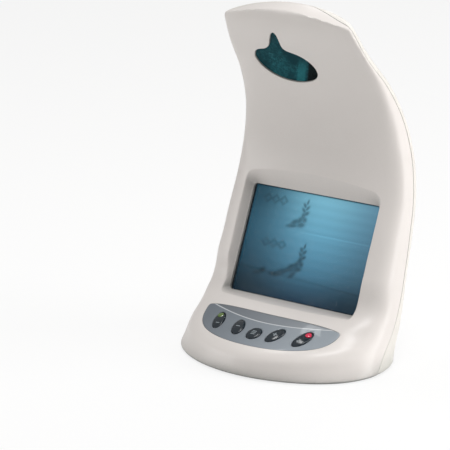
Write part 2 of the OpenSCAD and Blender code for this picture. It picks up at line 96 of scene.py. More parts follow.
def at(table, z):
    """Smooth cubic through a station table."""
    table = np.array(table, float)
    heights, values = table[:, 0], table[:, 1]
    gap = np.diff(heights)
    slope = np.diff(values) / gap
    tangent = np.zeros(len(heights))
    tangent[1:-1] = (gap[1:] * slope[:-1] + gap[:-1] * slope[1:]) / (gap[1:] + gap[:-1])
    tangent[0] = 2 * slope[0] - tangent[1]
    tangent[-1] = 2 * slope[-1] - tangent[-2]
    z = np.asarray(z, float)
    i = np.clip(np.searchsorted(heights, z, side="right") - 1, 0, len(heights) - 2)
    t = (z - heights[i]) / gap[i]
    return ((2 * t**3 - 3 * t**2 + 1) * values[i]
            + (t**3 - 2 * t**2 + t) * gap[i] * tangent[i]
            + (3 * t**2 - 2 * t**3) * values[i + 1]
            + (t**3 - t**2) * gap[i] * tangent[i + 1])


def section(z, in_front):
    """Seam y, depth from the seam and superellipse power of a section's front or back half."""
    seam = at(SEAM_Y, z)
    depth = np.where(in_front, seam - at(FRONT_Y, z), at(BACK_Y, z) - seam)
    power = np.where(in_front, at(FRONT_POWER, z), at(BACK_POWER, z))
    return seam, depth, power


def wall_point(angle, z):
    """Point of the casing's wall at a section angle (radians) and height z."""
    cosine, sine = np.cos(angle), np.sin(angle)
    seam, depth, power = section(z, sine < 0)
    radius = (np.abs(cosine) ** power + np.abs(sine) ** power) ** (-1 / power)
    x = at(HALF_WIDTH, z) * radius * cosine
    return np.stack([x, seam + depth * radius * sine, z + 0 * angle], -1)


def roof_z(x, y):
    across = np.maximum(ROOF_RADIUS_Y**2 - (y - ROOF_CROWN_Y) ** 2, 0)
    radius = ROOF_RADIUS_X - ROOF_RADIUS_Y + np.sqrt(across)
    return ROOF_TOP - ROOF_RADIUS_X + np.sqrt(np.maximum(radius**2 - x**2, 1))


def roof_seam_y(x):
    end_y = float(at(SEAM_Y, SEAM_END_Z))
    along = np.clip(np.abs(x) / SEAM_END_X, 0, 1)
    return end_y + (SEAM_CROWN_Y - end_y) * 0.5 * (1 + np.cos(np.pi * along))


def wall_gap(points):
    """Roughly the distance of points outside the wall, negative inside."""
    x, y, z = points[..., 0], points[..., 1], points[..., 2]
    seam, depth, power = section(z, y < at(SEAM_Y, z))
    rho = (np.abs(x / at(HALF_WIDTH, z)) ** power
           + np.abs((y - seam) / depth) ** power) ** (1 / power)
    distance = np.sqrt(x**2 + (y - seam) ** 2)
    return (rho - 1) * distance / np.maximum(rho, 1e-3)


def body_gap(points):
    """The same for the whole casing, with its rounded top edge."""
    x, y, z = points[..., 0], points[..., 1], points[..., 2]
    wall, roof = wall_gap(points), z - roof_z(x, y)
    t = np.clip((y - roof_seam_y(x) + ROUND_LEAD) / ROUND_LENGTH, 0, 1)
    middle = np.cos(np.clip(x / ROUND_HALF_X, -1, 1) * np.pi / 2) ** 2
    reach = ROUND_FRONT + ROUND_EXTRA * t * t * (3 - 2 * t) * middle
    blend = np.maximum(reach - np.abs(wall - roof), 0) / reach
    return np.maximum(wall, roof) + blend * blend * reach * 0.25


def bisect(is_inside, count, low, high, steps):
    """For each of count lines, the parameter between low and high where is_inside ends."""
    low, high = np.full(count, float(low)), np.full(count, float(high))
    for _ in range(steps):
        middle = 0.5 * (low + high)
        inside = is_inside(middle)
        low = np.where(inside, middle, low)
        high = np.where(inside, high, middle)
    return 0.5 * (low + high)


def cast(start, direction, low, high, gap=wall_gap, steps=46):
    """Where lines from start along direction leave the shape, between low and high."""
    reach = bisect(lambda t: gap(start + t[:, None] * direction) < 0,
                   len(start), low, high, steps)
    return start + reach[:, None] * direction


# ------------------------------------------------------------------ shells as flat domains
class Side:
    """The front or back half of the wall as a grid over (X across, arc length up)."""

    def __init__(self, is_front, column_count, row_step):
        self.is_front = is_front
        self.sign = 1 if is_front else -1
        self.z_table = np.linspace(LIFT, HEAD_Z, 4001)
        y = at(FRONT_Y if is_front else BACK_Y, self.z_table)
        pieces = np.hypot(np.diff(self.z_table), np.diff(y))
        self.arc_table = np.concatenate([[0], np.cumsum(pieces)])
        lowest = float(np.interp(LIFT + FOOT_R, self.z_table, self.arc_table))
        highest = float(self.arc_table[-1])
        self.columns = np.linspace(-HALF_X, HALF_X, column_count + 1)
        self.rows = np.linspace(lowest, highest, int((highest - lowest) / row_step) + 1)

    def half_angle(self, z):
        """Angle from the middle of the side to its edge at the seam."""
        depth = section(z, self.is_front)[1]
        return np.pi / 2 - np.arcsin(np.clip(SEAM_OFF / np.maximum(depth, 3), 0, 0.5))

    def angle(self, across, z):
        middle = 1.5 * np.pi if self.is_front else 0.5 * np.pi
        return middle + self.sign * across / HALF_X * self.half_angle(z)

    def point_at_height(self, z):
        return wall_point(self.angle(self.columns, z), z)

    def point(self, across, arc):
        z = np.interp(arc, self.arc_table, self.z_table)
        return wall_point(self.angle(across, z), z)

    def domain(self, points):
        """(X, arc length) of points on the wall."""
        z = points[:, 2]
        seam, depth, _ = section(z, self.is_front)
        angle = np.arctan2((points[:, 1] - seam) / depth, points[:, 0] / at(HALF_WIDTH, z))
        if self.is_front:
            angle = np.where(angle > 0.5 * np.pi, angle - 2 * np.pi, angle)
        turn = (angle + self.sign * 0.5 * np.pi) * self.sign
        across = turn / self.half_angle(z) * HALF_X
        return np.stack([across, np.interp(z, self.z_table, self.arc_table)], -1)


def inside_loop(points, loop):
    x, y = points[:, 0], points[:, 1]
    result = np.zeros(len(points), bool)
    for i in range(len(loop)):
        x1, y1 = loop[i]
        x2, y2 = loop[(i + 1) % len(loop)]
        if y1 == y2:
            continue
        crosses = (y1 > y) != (y2 > y)
        result ^= crosses & (x < (x2 - x1) * (y - y1) / (y2 - y1) + x1)
    return result


def loop_distance(points, loop, scale):
    starts = loop * scale
    ends = np.roll(starts, -1, 0)
    points = points * scale
    best = np.full(len(points), 1e9)
    for start, end in zip(starts, ends):
        edge = end - start
        length2 = max(edge @ edge, 1e-12)
        t = np.clip(((points - start) @ edge) / length2, 0, 1)
        offset = points - start - t[:, None] * edge
        best = np.minimum(best, np.sqrt((offset * offset).sum(1)))
    return best


def resample(loop, spacing):
    """Evenly spaced points along a closed loop."""
    closed = np.vstack([loop, loop[:1]])
    steps = np.linalg.norm(np.diff(closed, axis=0), axis=1)
    length = np.concatenate([[0], np.cumsum(steps)])
    count = max(8, int(round(length[-1] / spacing)))
    places = np.linspace(0, length[-1], count + 1)[:-1]
    return np.stack([np.interp(places, length, closed[:, k])
                     for k in range(closed.shape[1])], -1)


def smooth_loop(loop, times):
    for _ in range(times):
        neighbours = 0.5 * (np.roll(loop, 1, 0) + np.roll(loop, -1, 0))
        loop = loop * 0.5 + neighbours * 0.5
    return loop


def outward(loop, reach):
    """Outward normals of a counter-clockwise loop, from neighbours reach points away."""
    along = np.roll(loop, -reach, 0) - np.roll(loop, reach, 0)
    along /= np.linalg.norm(along, axis=1)[:, None]
    return np.stack([along[:, 1], -along[:, 0]], -1)


def cut_grid(columns, rows, holes, outer=None):
    """Quads of a rectangular grid, with triangles round the holes (closed loops).

    With outer given, only what lies inside it is kept. Returns points and faces.
    """
    nx, ny = len(columns), len(rows)
    grid = np.stack([axis.ravel() for axis in np.meshgrid(columns, rows)], -1)
    cell_size = np.array([abs(columns[1] - columns[0]), abs(rows[1] - rows[0])])
    scale = 1.0 / cell_size
    near = np.zeros(len(grid), bool)    # corners of cells that are triangulated
    dead = np.zeros(len(grid), bool)    # grid points that are dropped
    loops = list(holes) + ([outer] if outer is not None else [])
    for loop in loops:
        low, high = loop.min(0) - 3 * cell_size, loop.max(0) + 3 * cell_size
        index = np.nonzero(((grid > low) & (grid < high)).all(1))[0]
        distance = loop_distance(grid[index], loop, scale)
        cut = inside_loop(grid[index], loop)
        if loop is outer:
            cut = ~cut
        near[index] |= cut | (distance < 1.2)
        dead[index] |= cut | (distance < 0.55)
    if outer is not None:
        outside = ~((grid >= outer.min(0)) & (grid <= outer.max(0))).all(1)
        near |= outside
        dead |= outside
    mark = near.reshape(ny, nx)
    is_cut = mark[:-1, :-1] | mark[1:, :-1] | mark[:-1, 1:] | mark[1:, 1:]
    ids = np.arange(nx * ny).reshape(ny, nx)

    def cells(chosen):
        return [(ids[j, i], ids[j, i + 1], ids[j + 1, i + 1], ids[j + 1, i])
                for j, i in zip(*np.nonzero(chosen))]

    # outline of the removed cells
    removed = cells(is_cut)
    edge_uses = {}
    for cell in removed:
        for k in range(4):
            edge = tuple(sorted((cell[k], cell[(k + 1) % 4])))
            edge_uses[edge] = edge_uses.get(edge, 0) + 1
    border = [edge for edge, uses in edge_uses.items()
              if uses == 1 and not (dead[edge[0]] or dead[edge[1]])]
    used = sorted(v for v in {v for cell in removed for v in cell} if not dead[v])
    local = {v: k for k, v in enumerate(used)}

    # triangulate between that outline and the loops
    flat = np.vstack([grid[used]] + loops) * scale
    edges_in = [(local[a], local[b]) for a, b in border]
    first = len(used)
    for loop in loops:
        count = len(loop)
        edges_in += [(first + k, first + (k + 1) % count) for k in range(count)]
        first += count
    result = delaunay_2d_cdt([Vector(p) for p in flat.tolist()], edges_in, [], 0, 1e-7)
    coords = np.array([[v.x / scale[0], v.y / scale[1]] for v in result[0]])
    origins = result[3]
    triangles = np.array([face for face in result[2] if len(face) == 3])
    centres = coords[triangles].mean(1)
    i = np.floor((centres[:, 0] - columns[0]) / (columns[1] - columns[0])).astype(int)
    j = np.floor((centres[:, 1] - rows[0]) / (rows[1] - rows[0])).astype(int)
    keep = (i >= 0) & (j >= 0) & (i < nx - 1) & (j < ny - 1)
    keep[keep] &= is_cut[j[keep], i[keep]]
    for hole in holes:
        keep[keep] &= ~inside_loop(centres[keep], hole)
    if outer is not None:
        keep[keep] &= inside_loop(centres[keep], outer)

    # number the triangulation's points among all points
    points = np.vstack([grid] + loops)
    base, extra, index = len(points), [], []
    for coord, origin in zip(coords, origins):
        if not origin:
            index.append(base + len(extra))
            extra.append(coord)
        elif origin[0] < len(used):
            index.append(used[origin[0]])
        else:
            index.append(len(grid) + origin[0] - len(used))
    if extra:
        points = np.vstack([points, np.array(extra)])
    faces = cells(~is_cut) + [tuple(index[v] for v in face) for face in triangles[keep]]
    if outer is not None:
        middles = np.array([points[list(face)].mean(0) for face in faces])
        faces = [face for face, ok in zip(faces, inside_loop(middles, outer)) if ok]
    return points, faces


# ------------------------------------------------------------------ mesh helpers
def tidy(points, faces):
    """Drop unused points."""
    used = sorted({v for face in faces for v in face})
    renumber = {v: k for k, v in enumerate(used)}
    return points[used], [tuple(renumber[v] for v in face) for face in faces]


def flipped(faces):
    return [tuple(reversed(face)) for face in faces]


def vertex_normals(points, faces):
    normals = np.zeros_like(points)
    for corners in (3, 4):
        group = np.array([face for face in faces if len(face) == corners])
        if not len(group):
            continue
        spots = [points[group[:, k]] for k in range(corners)]
        if corners == 3:
            cross = np.cross(spots[1] - spots[0], spots[2] - spots[0])
        else:
            cross = np.cross(spots[2] - spots[0], spots[3] - spots[1])
        for k in range(corners):
            np.add.at(normals, group[:, k], cross)
    return normals / np.maximum(np.linalg.norm(normals, axis=1), 1e-12)[:, None]


def boundary_loops(faces):
    edges = dict.fromkeys((face[k], face[(k + 1) % len(face)])
                          for face in faces for k in range(len(face)))
    onward = {}
    for start, end in edges:
        if (end, start) not in edges:
            onward.setdefault(start, []).append(end)

    def follow(vertex):
        target = onward[vertex].pop()
        if not onward[vertex]:
            del onward[vertex]
        return target

    loops = []
    while onward:
        start = next(iter(onward))
        loop, current = [start], follow(start)
        while current != start:
            loop.append(current)
            if current not in onward:
                break
            current = follow(current)
        loops.append(loop)
    return loops


def thicken(points, faces, profile, wall):
    """Closed shell from an open patch.

    profile(edge, normal, away) gives the rings that lead from a boundary loop over its lip
    and down the wall; away points off the patch. The last ring joins the inner surface.
    """
    normals = vertex_normals(points, faces)
    parts = [points, points - normals * wall]
    count = 2 * len(points)
    solid = list(faces)
    inner_index = np.arange(len(points)) + len(points)
    for loop in boundary_loops(faces):
        loop = np.array(loop)
        edge = points[loop]
        tangent = np.roll(edge, -1, 0) - np.roll(edge, 1, 0)
        tangent /= np.maximum(np.linalg.norm(tangent, axis=1), 1e-9)[:, None]
        away = np.cross(tangent, normals[loop])
        away /= np.maximum(np.linalg.norm(away, axis=1), 1e-9)[:, None]
        previous = loop
        for ring in profile(edge, normals[loop], away):
            index = np.arange(len(loop)) + count
            parts.append(ring)
            count += len(loop)
            for i in range(len(loop)):
                j = (i + 1) % len(loop)
                solid.append((previous[j], previous[i], index[i], index[j]))
            previous = index
        inner_index[loop] = previous
    solid += [tuple(int(inner_index[v]) for v in reversed(face)) for face in faces]
    return np.vstack(parts), solid


def rounded_lip(edge, normal, away, radius, steps):
    """Rings of a quarter round that turns from the surface down into the wall."""
    rings = []
    for k in range(1, steps + 1):
        angle = k / steps * math.pi / 2
        rings.append(edge + away * radius * math.sin(angle)
                     - normal * radius * (1 - math.cos(angle)))
    return rings


def band(upper, lower):
    """Quads between two closed rings of point numbers."""
    count = len(upper)
    return [(upper[i], lower[i], lower[(i + 1) % count], upper[(i + 1) % count])
            for i in range(count)]


def stack_faces(rings, count, tube):
    """Faces of a stack of rings: joined round into a tube, or capped with two fans whose
    centre points (first ring's, then last ring's) follow the rings."""
    ids = np.arange(rings * count).reshape(rings, count)
    faces = [face for k in range(rings - 1) for face in band(ids[k], ids[k + 1])]
    if tube:
        return faces + band(ids[-1], ids[0])
    for i in range(count):
        j = (i + 1) % count
        faces += [(rings * count, i, j), (rings * count + 1, ids[-1][j], ids[-1][i])]
    return faces


def emit(name, points, faces, body, cad_node, slot, material=None, angle=38, smooth=True):
    points, faces = tidy(points, faces)
    mesh = bpy.data.meshes.new(name)
    mesh.from_pydata(((points - [0, MID_Y, 0]) * 0.001).tolist(), [], faces)
    mesh.validate(clean_customdata=False)
    mesh.update()
    made = bpy.data.objects.new(name, mesh)
    scene.collection.objects.link(made)
    if material:
        mesh.materials.append(material)
    if smooth:
        mesh.shade_smooth()
        mesh.set_sharp_from_angle(angle=math.radians(angle))
    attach(made, body)
    if cad_node:
        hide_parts(cad_node)
    return made


# ------------------------------------------------------------------ tilted frames
class LocalFrame:
    """Axes turned about x: local y runs up a face, local z points out of it."""

    def __init__(self, origin, tilt):
        cosine, sine = math.cos(math.radians(tilt)), math.sin(math.radians(tilt))
        self.origin = np.array(origin, float)
        self.x = np.array([1.0, 0, 0])
        self.y = np.array([0, cosine, sine])
        self.z = np.array([0, -sine, cosine])

    def to_world(self, local):
        local = np.asarray(local, float)
        return (self.origin + local[..., 0:1] * self.x + local[..., 1:2] * self.y
                + local[..., 2:3] * self.z)

    def to_local(self, points):
        offset = points - self.origin
        return np.stack([offset @ self.x, offset @ self.y, offset @ self.z], -1)

    def project(self, outline, low, high):
        """Outline (n, 2) carried along local z to the wall."""
        start = self.to_world(np.column_stack([outline, np.zeros(len(outline))]))
        return cast(start, self.z, low, high)


SCREEN = LocalFrame((0, 14.9, 71.55), tilt=66.5)
PANEL = LocalFrame((0, -30, 25.4), tilt=22)
HEAD = LocalFrame((-11, 17.6, 193), tilt=115)


def project_up(outline):
    """Outline (x, y) carried straight up to the front's sloping deck."""
    start = np.column_stack([outline, np.zeros(len(outline))])
    return cast(start, np.array([0.0, 0.0, 1.0]), 4.0, 60.0)


def project_back(outline, low=30.0, high=90.0):
    """Outline (x, z) carried straight back to the rear wall."""
    start = np.column_stack([outline[:, 0], np.zeros(len(outline)), outline[:, 1]])
    return cast(start, np.array([0.0, 1.0, 0.0]), low, high)


# ------------------------------------------------------------------ screen hood outlines
SCREEN_HALF = (52.4, 37.5)      # half size of the opening at the screen
SCREEN_CORNER = 2.2
HOOD_SPACING = 1.15
HOOD_CORNER_STEPS = 10
HOOD_FOOT_Z = -6.5              # local height of the opening at the screen

# the hood's mouth on the face, in the screen's frame
SHOULDER_Y = 38.6
RIGHT_X, RIGHT_SHOULDER = 56.3, 8.6         # upper right corner: side and x radius
LEFT_X, LEFT_SHOULDER = -56.6, 8.7
LOW_RIGHT, LOW_RIGHT_RADII = (52.2, -38.9), (3.0, 2.8)     # centre and radii of the corner
LOW_LEFT, LOW_LEFT_RADII = (-50.0, -36.9), (5.0, 4.8)


def mouth_top(x):
    return 49.4 - 3.2 * (abs(x) / 48.0) ** 1.9


def mouth_bottom(x):
    return -42.7 + 1.0 * (abs(x) / 50) ** 2.2


def mouth_right(y):
    spread = 2.3 * min(1.0, (y - LOW_RIGHT[1]) / 52.0) ** 0.8
    bulge = 0.9 * math.exp(-((y + 14) / 10) ** 2)
    foot = 1.3 * math.exp(-((y + 37) / 8) ** 2)
    return 54.0 + spread + bulge + foot


def mouth_left(y):
    return LEFT_X + 1.6 * max(0.0, (-10.0 - y) / 26.9) ** 1.5


def hood_loops():
    """Matched outlines of the hood: at the screen and where it meets the face."""
    half_w, half_h = SCREEN_HALF
    radius = SCREEN_CORNER
    across = int(2 * half_w / HOOD_SPACING)
    upward = int(2 * half_h / HOOD_SPACING)

    def straight(start, end, count):
        return [(start[0] + (end[0] - start[0]) * k / count,
                 start[1] + (end[1] - start[1]) * k / count) for k in range(count)]

    def corner(cx, cy, rx, ry, first):
        angles = [math.radians(first + 90 * k / HOOD_CORNER_STEPS)
                  for k in range(HOOD_CORNER_STEPS)]
        return [(cx + rx * math.cos(a), cy + ry * math.sin(a)) for a in angles]

    def span(start, end, count):
        return np.linspace(start, end, count + 1)[:-1]

    cx, cy = half_w - radius, half_h - radius
    inner = (straight((-cx, -half_h), (cx, -half_h), across)
             + corner(cx, -cy, radius, radius, -90)
             + straight((half_w, -cy), (half_w, cy), upward)
             + corner(cx, cy, radius, radius, 0)
             + straight((cx, half_h), (-cx, half_h), across)
             + corner(-cx, cy, radius, radius, 90)
             + straight((-half_w, cy), (-half_w, -cy), upward)
             + corner(-cx, -cy, radius, radius, 180))
    right, left = RIGHT_X - RIGHT_SHOULDER, LEFT_X + LEFT_SHOULDER
    mouth = ([(x, mouth_bottom(x)) for x in span(LOW_LEFT[0], LOW_RIGHT[0], across)]
             + corner(*LOW_RIGHT, *LOW_RIGHT_RADII, -90)
             + [(mouth_right(y), y) for y in span(LOW_RIGHT[1], SHOULDER_Y, upward)]
             + corner(right, SHOULDER_Y, RIGHT_SHOULDER, mouth_top(right) - SHOULDER_Y, 0)
             + [(x, mouth_top(x)) for x in span(right, left, across)]
             + corner(left, SHOULDER_Y, LEFT_SHOULDER, mouth_top(left) - SHOULDER_Y, 90)
             + [(mouth_left(y), y) for y in span(SHOULDER_Y, LOW_LEFT[1], upward)]
             + corner(*LOW_LEFT, *LOW_LEFT_RADII, 180))
    return np.array(inner), smooth_loop(np.array(mouth), 4)


# ------------------------------------------------------------------ filter window outline
# (x, y) in the head's frame, clockwise: an oval with one pointed fin
WINDOW = [
    (-24.9, 5.0), (-22.9, 9.8), (-19.2, 12.0), (-14.4, 13.2), (-10.9, 15.0), (-8.4, 17.9),
    (-6.2, 22.2), (-3.7, 26.6), (-1.6, 29.1), (-0.3, 29.9), (0.7, 28.9), (1.1, 26.0),
    (0.95, 21.7), (0.95, 18.0), (1.9, 15.5), (4.7, 13.7), (10.4, 12.2), (15.1, 10.4),
    (18.9, 8.0), (21.9, 5.0), (23.7, 1.6), (24.0, -2.2), (22.0, -5.6), (17.6, -8.3),
    (10.8, -10.3), (4.3, -10.9), (-2.7, -10.5), (-8.8, -9.2), (-14.5, -7.0), (-19.2, -4.0),
    (-22.9, -0.2)]
WINDOW_HOLE_GROWTH = 0.75   # the shell's opening, measured outside its rounded lip
WINDOW_LIP = 0.55


def spline(points, steps=8):
    """Closed Catmull-Rom curve through the points."""
    here = np.asarray(points, float)
    before, after, beyond = (np.roll(here, shift, 0) for shift in (1, -1, -2))
    curve = [0.5 * (2 * here + (after - before) * t
                    + (2 * before - 5 * here + 4 * after - beyond) * t**2
                    + (3 * here - before - 3 * after + beyond) * t**3)
             for t in np.arange(steps) / steps]
    return np.stack(curve, 1).reshape(-1, here.shape[1])


def window_outline(grow):
    loop = resample(spline(WINDOW[::-1]), 0.6)
    return smooth_loop(loop + outward(loop, 2) * grow, 2)


# ------------------------------------------------------------------ fascia outline
FASCIA_HALF_WIDTH = 55
FASCIA_DEPTH = 34.3
FASCIA_Y = -13.3        # ends of its rear edge
FASCIA_SAG = 3.4        # how far the rear edge bows to the front
FASCIA_GAP = 0.12
FASCIA_LIP = 0.22
FASCIA_THICK = 1.2
POCKET_LIP = 0.25
BUTTON_GAP = 0.3
BUTTON_HOLE_LIP = 0.3


def fascia_outline(grow):
    """Plan of the fascia: half an ellipse to the front, closed by a bowed rear edge."""
    half, depth = FASCIA_HALF_WIDTH + grow, FASCIA_DEPTH + grow
    points = [(half * math.cos(math.radians(a)), FASCIA_Y + depth * math.sin(math.radians(a)))
              for a in np.arange(180, 361, 3.0)]
    points += [(x, FASCIA_Y + grow - FASCIA_SAG * (1 - (x / half) ** 2))
               for x in np.linspace(half, -half, 46)[1:-1]]
    return smooth_loop(resample(np.array(points), 1.0), 4)


# ------------------------------------------------------------------ buttons
# x, y and height in the panel's frame, half width, half height, lean in degrees,
# height of the flange's upper face
BUTTON_TABLE = [
    (-34.8, 0.8, -1.8, 4.2, 8.6, 20, -5.7),
    (-15.4, -2.9, -0.25, 4.3, 7.9, 21, -3.9),
    (0, -5.9, 0.1, 5.1, 5.9, 0, -3.6),
    (15.4, -2.9, -0.25, 4.3, 7.9, -21, -3.9),
    (34.8, 0.8, -1.8, 4.2, 8.6, -20, -5.7)]
DOME_RADIUS = 34
DOME_RISE = 1.15
CAP_RIM = 0.75              # rounding of the cap's edge
CAP_SIDES = 72
FLANGE_WIDTH = 1.1
FLANGE_THICK = 1.1
STEM_RADIUS = 2.6
STEM_END = -6.9
LAMP_OFFSET = 5.1           # along the button's long axis
LAMP_RADIUS = 2.12
LAMP_CHAMFER = 0.18
LAMP_HOLE = [(-1.6, 0), (-0.5, 0), (-0.12, 0), (0.0, LAMP_CHAMFER)]   # height, extra radius

# marks on each button: offset x and y, half length, half width, turn
MARKS = [
    [(1.1, -3.0, 1.5, 0.38, 0.0)],
    [(0, 0.2, 1.7, 0.42, 0.0)],
    [(0, 1.5, 1.7, 0.38, 0.0), (0, 0.1, 1.7, 0.38, 0.0), (0, -1.3, 1.7, 0.38, 0.0)],
    [(0, 0.2, 1.7, 0.42, 0.0), (0, 0.2, 1.7, 0.42, math.pi / 2)],
    [(-1.1, -3.0, 1.5, 0.38, 0.0)]]
MARK_LAYERS = [(1.0, -0.25), (1.0, 0.03), (0.8, 0.06)]     # size, height over the cap


class Button:
    """One oval button; u and v are its own axes, turned by its lean."""

    def __init__(self, x, y, rise, half_width, half_height, lean, flange_top):
        self.x, self.y, self.rise = x, y, rise
        self.half_width, self.half_height = half_width, half_height
        self.cosine = math.cos(math.radians(lean))
        self.sine = math.sin(math.radians(lean))
        self.flange_top = flange_top
        self.has_lamp = abs(x) > 30     # the two outermost
        # the dome's crown is shifted towards the middle of the panel
        share = 1.0 if self.has_lamp else 0.5
        self.crown_x = -0.13 * DOME_RADIUS * np.sign(x) * share
        self.crown_y = 1.0 if self.has_lamp else 0.0

    def turned(self, u, v, x=0.0, y=0.0):
        """Panel axes, from a starting x and y."""
        return x + u * self.cosine - v * self.sine, y + u * self.sine + v * self.cosine

    def to_world(self, u, v, height):
        x, y = self.turned(u, v, self.x, self.y)
        return PANEL.to_world(np.stack([x, y, height], -1))

    def top(self, u, v):
        x, y = self.turned(u, v)
        x, y = x - self.crown_x, y - self.crown_y
        return (self.rise + DOME_RISE - DOME_RADIUS
                + np.sqrt(DOME_RADIUS**2 - x * x - y * y))

    def outline(self, grow, count=56):
        angle = np.linspace(0, 2 * np.pi, count, endpoint=False)
        u = (self.half_width + grow) * np.cos(angle)
        v = (self.half_height + grow) * np.sin(angle)
        return np.stack(self.turned(u, v, self.x, self.y), -1)

    def cap(self):
        """Points and faces of the cap with its flange, and its lamp hole or stem."""
        angle = np.linspace(0, 2 * np.pi, CAP_SIDES, endpoint=False)
        cosine, sine = np.cos(angle), np.sin(angle)
        half_u, half_v = self.half_width, self.half_height
        rings = []

        def oval(radius_u, radius_v, shift=0.0):
            return radius_u * cosine, shift + radius_v * sine

        def level(radius_u, radius_v, height, shift=0.0):
            rings.append((*oval(radius_u, radius_v, shift), np.full(CAP_SIDES, height)))

        start_u, start_v = oval(0, 0)
        if self.has_lamp:
            for height, extra in LAMP_HOLE:
                radius = LAMP_RADIUS + extra
                start_u, start_v = oval(radius, radius, LAMP_OFFSET)
                rings.append((start_u, start_v, self.top(start_u, start_v) + height))
        # over the dome to the rim
        rim_u, rim_v = oval(half_u - CAP_RIM, half_v - CAP_RIM)
        for t in np.linspace(0, 1, 12)[1:]:
            u = start_u * (1 - t) + t * rim_u
            v = start_v * (1 - t) + t * rim_v
            rings.append((u, v, self.top(u, v)))
        for k in range(1, 7):
            turn = k / 6 * math.pi / 2
            grow = CAP_RIM * math.sin(turn)
            u, v = oval(half_u - CAP_RIM + grow, half_v - CAP_RIM + grow)
            drop = CAP_RIM * (1 - math.cos(turn)) + 0.12 * math.sin(turn)
            rings.append((u, v, self.top(rim_u, rim_v) - drop))
        # down to the flange and round it
        flange_bottom = self.flange_top - FLANGE_THICK
        level(half_u, half_v, self.flange_top)
        level(half_u + FLANGE_WIDTH, half_v + FLANGE_WIDTH, self.flange_top)
        level(half_u + FLANGE_WIDTH, half_v + FLANGE_WIDTH, flange_bottom)
        if self.has_lamp:
            level(LAMP_RADIUS, LAMP_RADIUS, flange_bottom, LAMP_OFFSET)
        else:
            level(STEM_RADIUS, STEM_RADIUS, flange_bottom)
            level(STEM_RADIUS, STEM_RADIUS, STEM_END)
        points = [self.to_world(*ring) for ring in rings]
        if not self.has_lamp:
            points.append(self.to_world(0.0, 0.0, self.top(0.0, 0.0))[None])
            points.append(self.to_world(0.0, 0.0, STEM_END)[None])
        return np.vstack(points), stack_faces(len(rings), CAP_SIDES, tube=self.has_lamp)

    def mark(self, offset_x, offset_y, half_length, half_width, turn):
        """A thin rounded bar laid on the dome, square to the panel's own axes."""
        outline = round_rect(half_length, half_width, half_width * 0.95, 5)
        count = len(outline)
        flat = np.vstack([outline * size for size, _ in MARK_LAYERS])
        lift = np.repeat([height for _, height in MARK_LAYERS], count)
        cosine, sine = math.cos(turn), math.sin(turn)
        x = offset_x + flat[:, 0] * cosine - flat[:, 1] * sine
        y = offset_y + flat[:, 0] * sine + flat[:, 1] * cosine
        u, v = x * self.cosine + y * self.sine, -x * self.sine + y * self.cosine
        faces = []
        for k in range(len(MARK_LAYERS) - 1):
            for i in range(count):
                j = (i + 1) % count
                faces.append((k * count + i, k * count + j,
                              (k + 1) * count + j, (k + 1) * count + i))
        faces.append(tuple(2 * count + i for i in range(count)))
        faces.append(tuple(reversed(range(count))))
        return self.to_world(u, v, self.top(u, v) + lift), faces


def round_rect(half_w, half_h, radius, steps):
    points = []
    x, y = half_w - radius, half_h - radius
    for cx, cy, first in ((x, y, 0), (-x, y, 90), (-x, -y, 180), (x, -y, 270)):
        for k in range(steps + 1):
            angle = math.radians(first + 90 * k / steps)
            points.append((cx + radius * math.cos(angle), cy + radius * math.sin(angle)))
    return np.array(points)


BUTTONS = [Button(*row) for row in BUTTON_TABLE]


# ------------------------------------------------------------------ shader graphs
class Graph:
    """Builds the node tree of a material or world."""

    def __init__(self, owner, output="OutputMaterial"):
        owner.use_nodes = True
        self.owner = owner
        self.tree = owner.node_tree
        self.tree.nodes.clear()
        self.output = self.node(output)
        self.coords = self.node("TexCoord").outputs

    def node(self, kind, inputs=None, **props):
        made = self.tree.nodes.new("ShaderNode" + kind)
        for key, setting in props.items():
            setattr(made, key, setting)
        self.feed(made, inputs or {})
        return made

    def feed(self, target, inputs):
        """Set or link inputs; a node stands for its first output."""
        for key, source in inputs.items():
            socket = target.inputs[key]
            if isinstance(source, bpy.types.Node):
                source = source.outputs[0]
            if isinstance(source, bpy.types.NodeSocket):
                self.tree.links.new(source, socket)
            elif socket.type == "RGBA":
                socket.default_value = (*source[:3], 1)
            else:
                socket.default_value = source

    def finish(self, shader):
        self.feed(self.output, {"Surface": shader})
        return self.owner

    def calc(self, operation, *terms, clamp=False):
        return self.node("Math", dict(enumerate(terms)), operation=operation,
                         use_clamp=clamp)

    def mix(self, factor, first, second, mode="MIX"):
        made = self.node("Mix", data_type="RGBA", blend_type=mode)
        self.feed(made, {0: factor, 6: first, 7: second})
        return made.outputs[2]

    def mix_shader(self, factor, first, second):
        return self.node("MixShader", {0: factor, 1: first, 2: second})

    def ramp(self, source, low, high, start=0.0, end=1.0):
        """Grey from start at low to end at high."""
        made = self.node("ValToRGB", {0: source})
        stops = zip(made.color_ramp.elements, ((low, start), (high, end)))
        for element, (position, grey) in stops:
            element.position = position
            element.color = (grey, grey, grey, 1)
        return made

    def noise(self, scale, detail=3, rough=0.5, vector=None):
        inputs = {"Scale": scale, "Detail": detail, "Roughness": rough,
                  "Vector": vector or self.coords["Object"]}
        return self.node("TexNoise", inputs).outputs["Fac"]

    def xyz(self, source="Object"):
        return self.node("SeparateXYZ", {0: self.coords[source]}).outputs

    def bump(self, height, strength, distance):
        return self.node("Bump", {"Strength": strength, "Distance": distance,
                                  "Height": height})


def material_graph(name):
    return Graph(bpy.data.materials.new(name))


def toned(color, factor, offset=0.0):
    return tuple(min(1, c * factor + offset) for c in color)


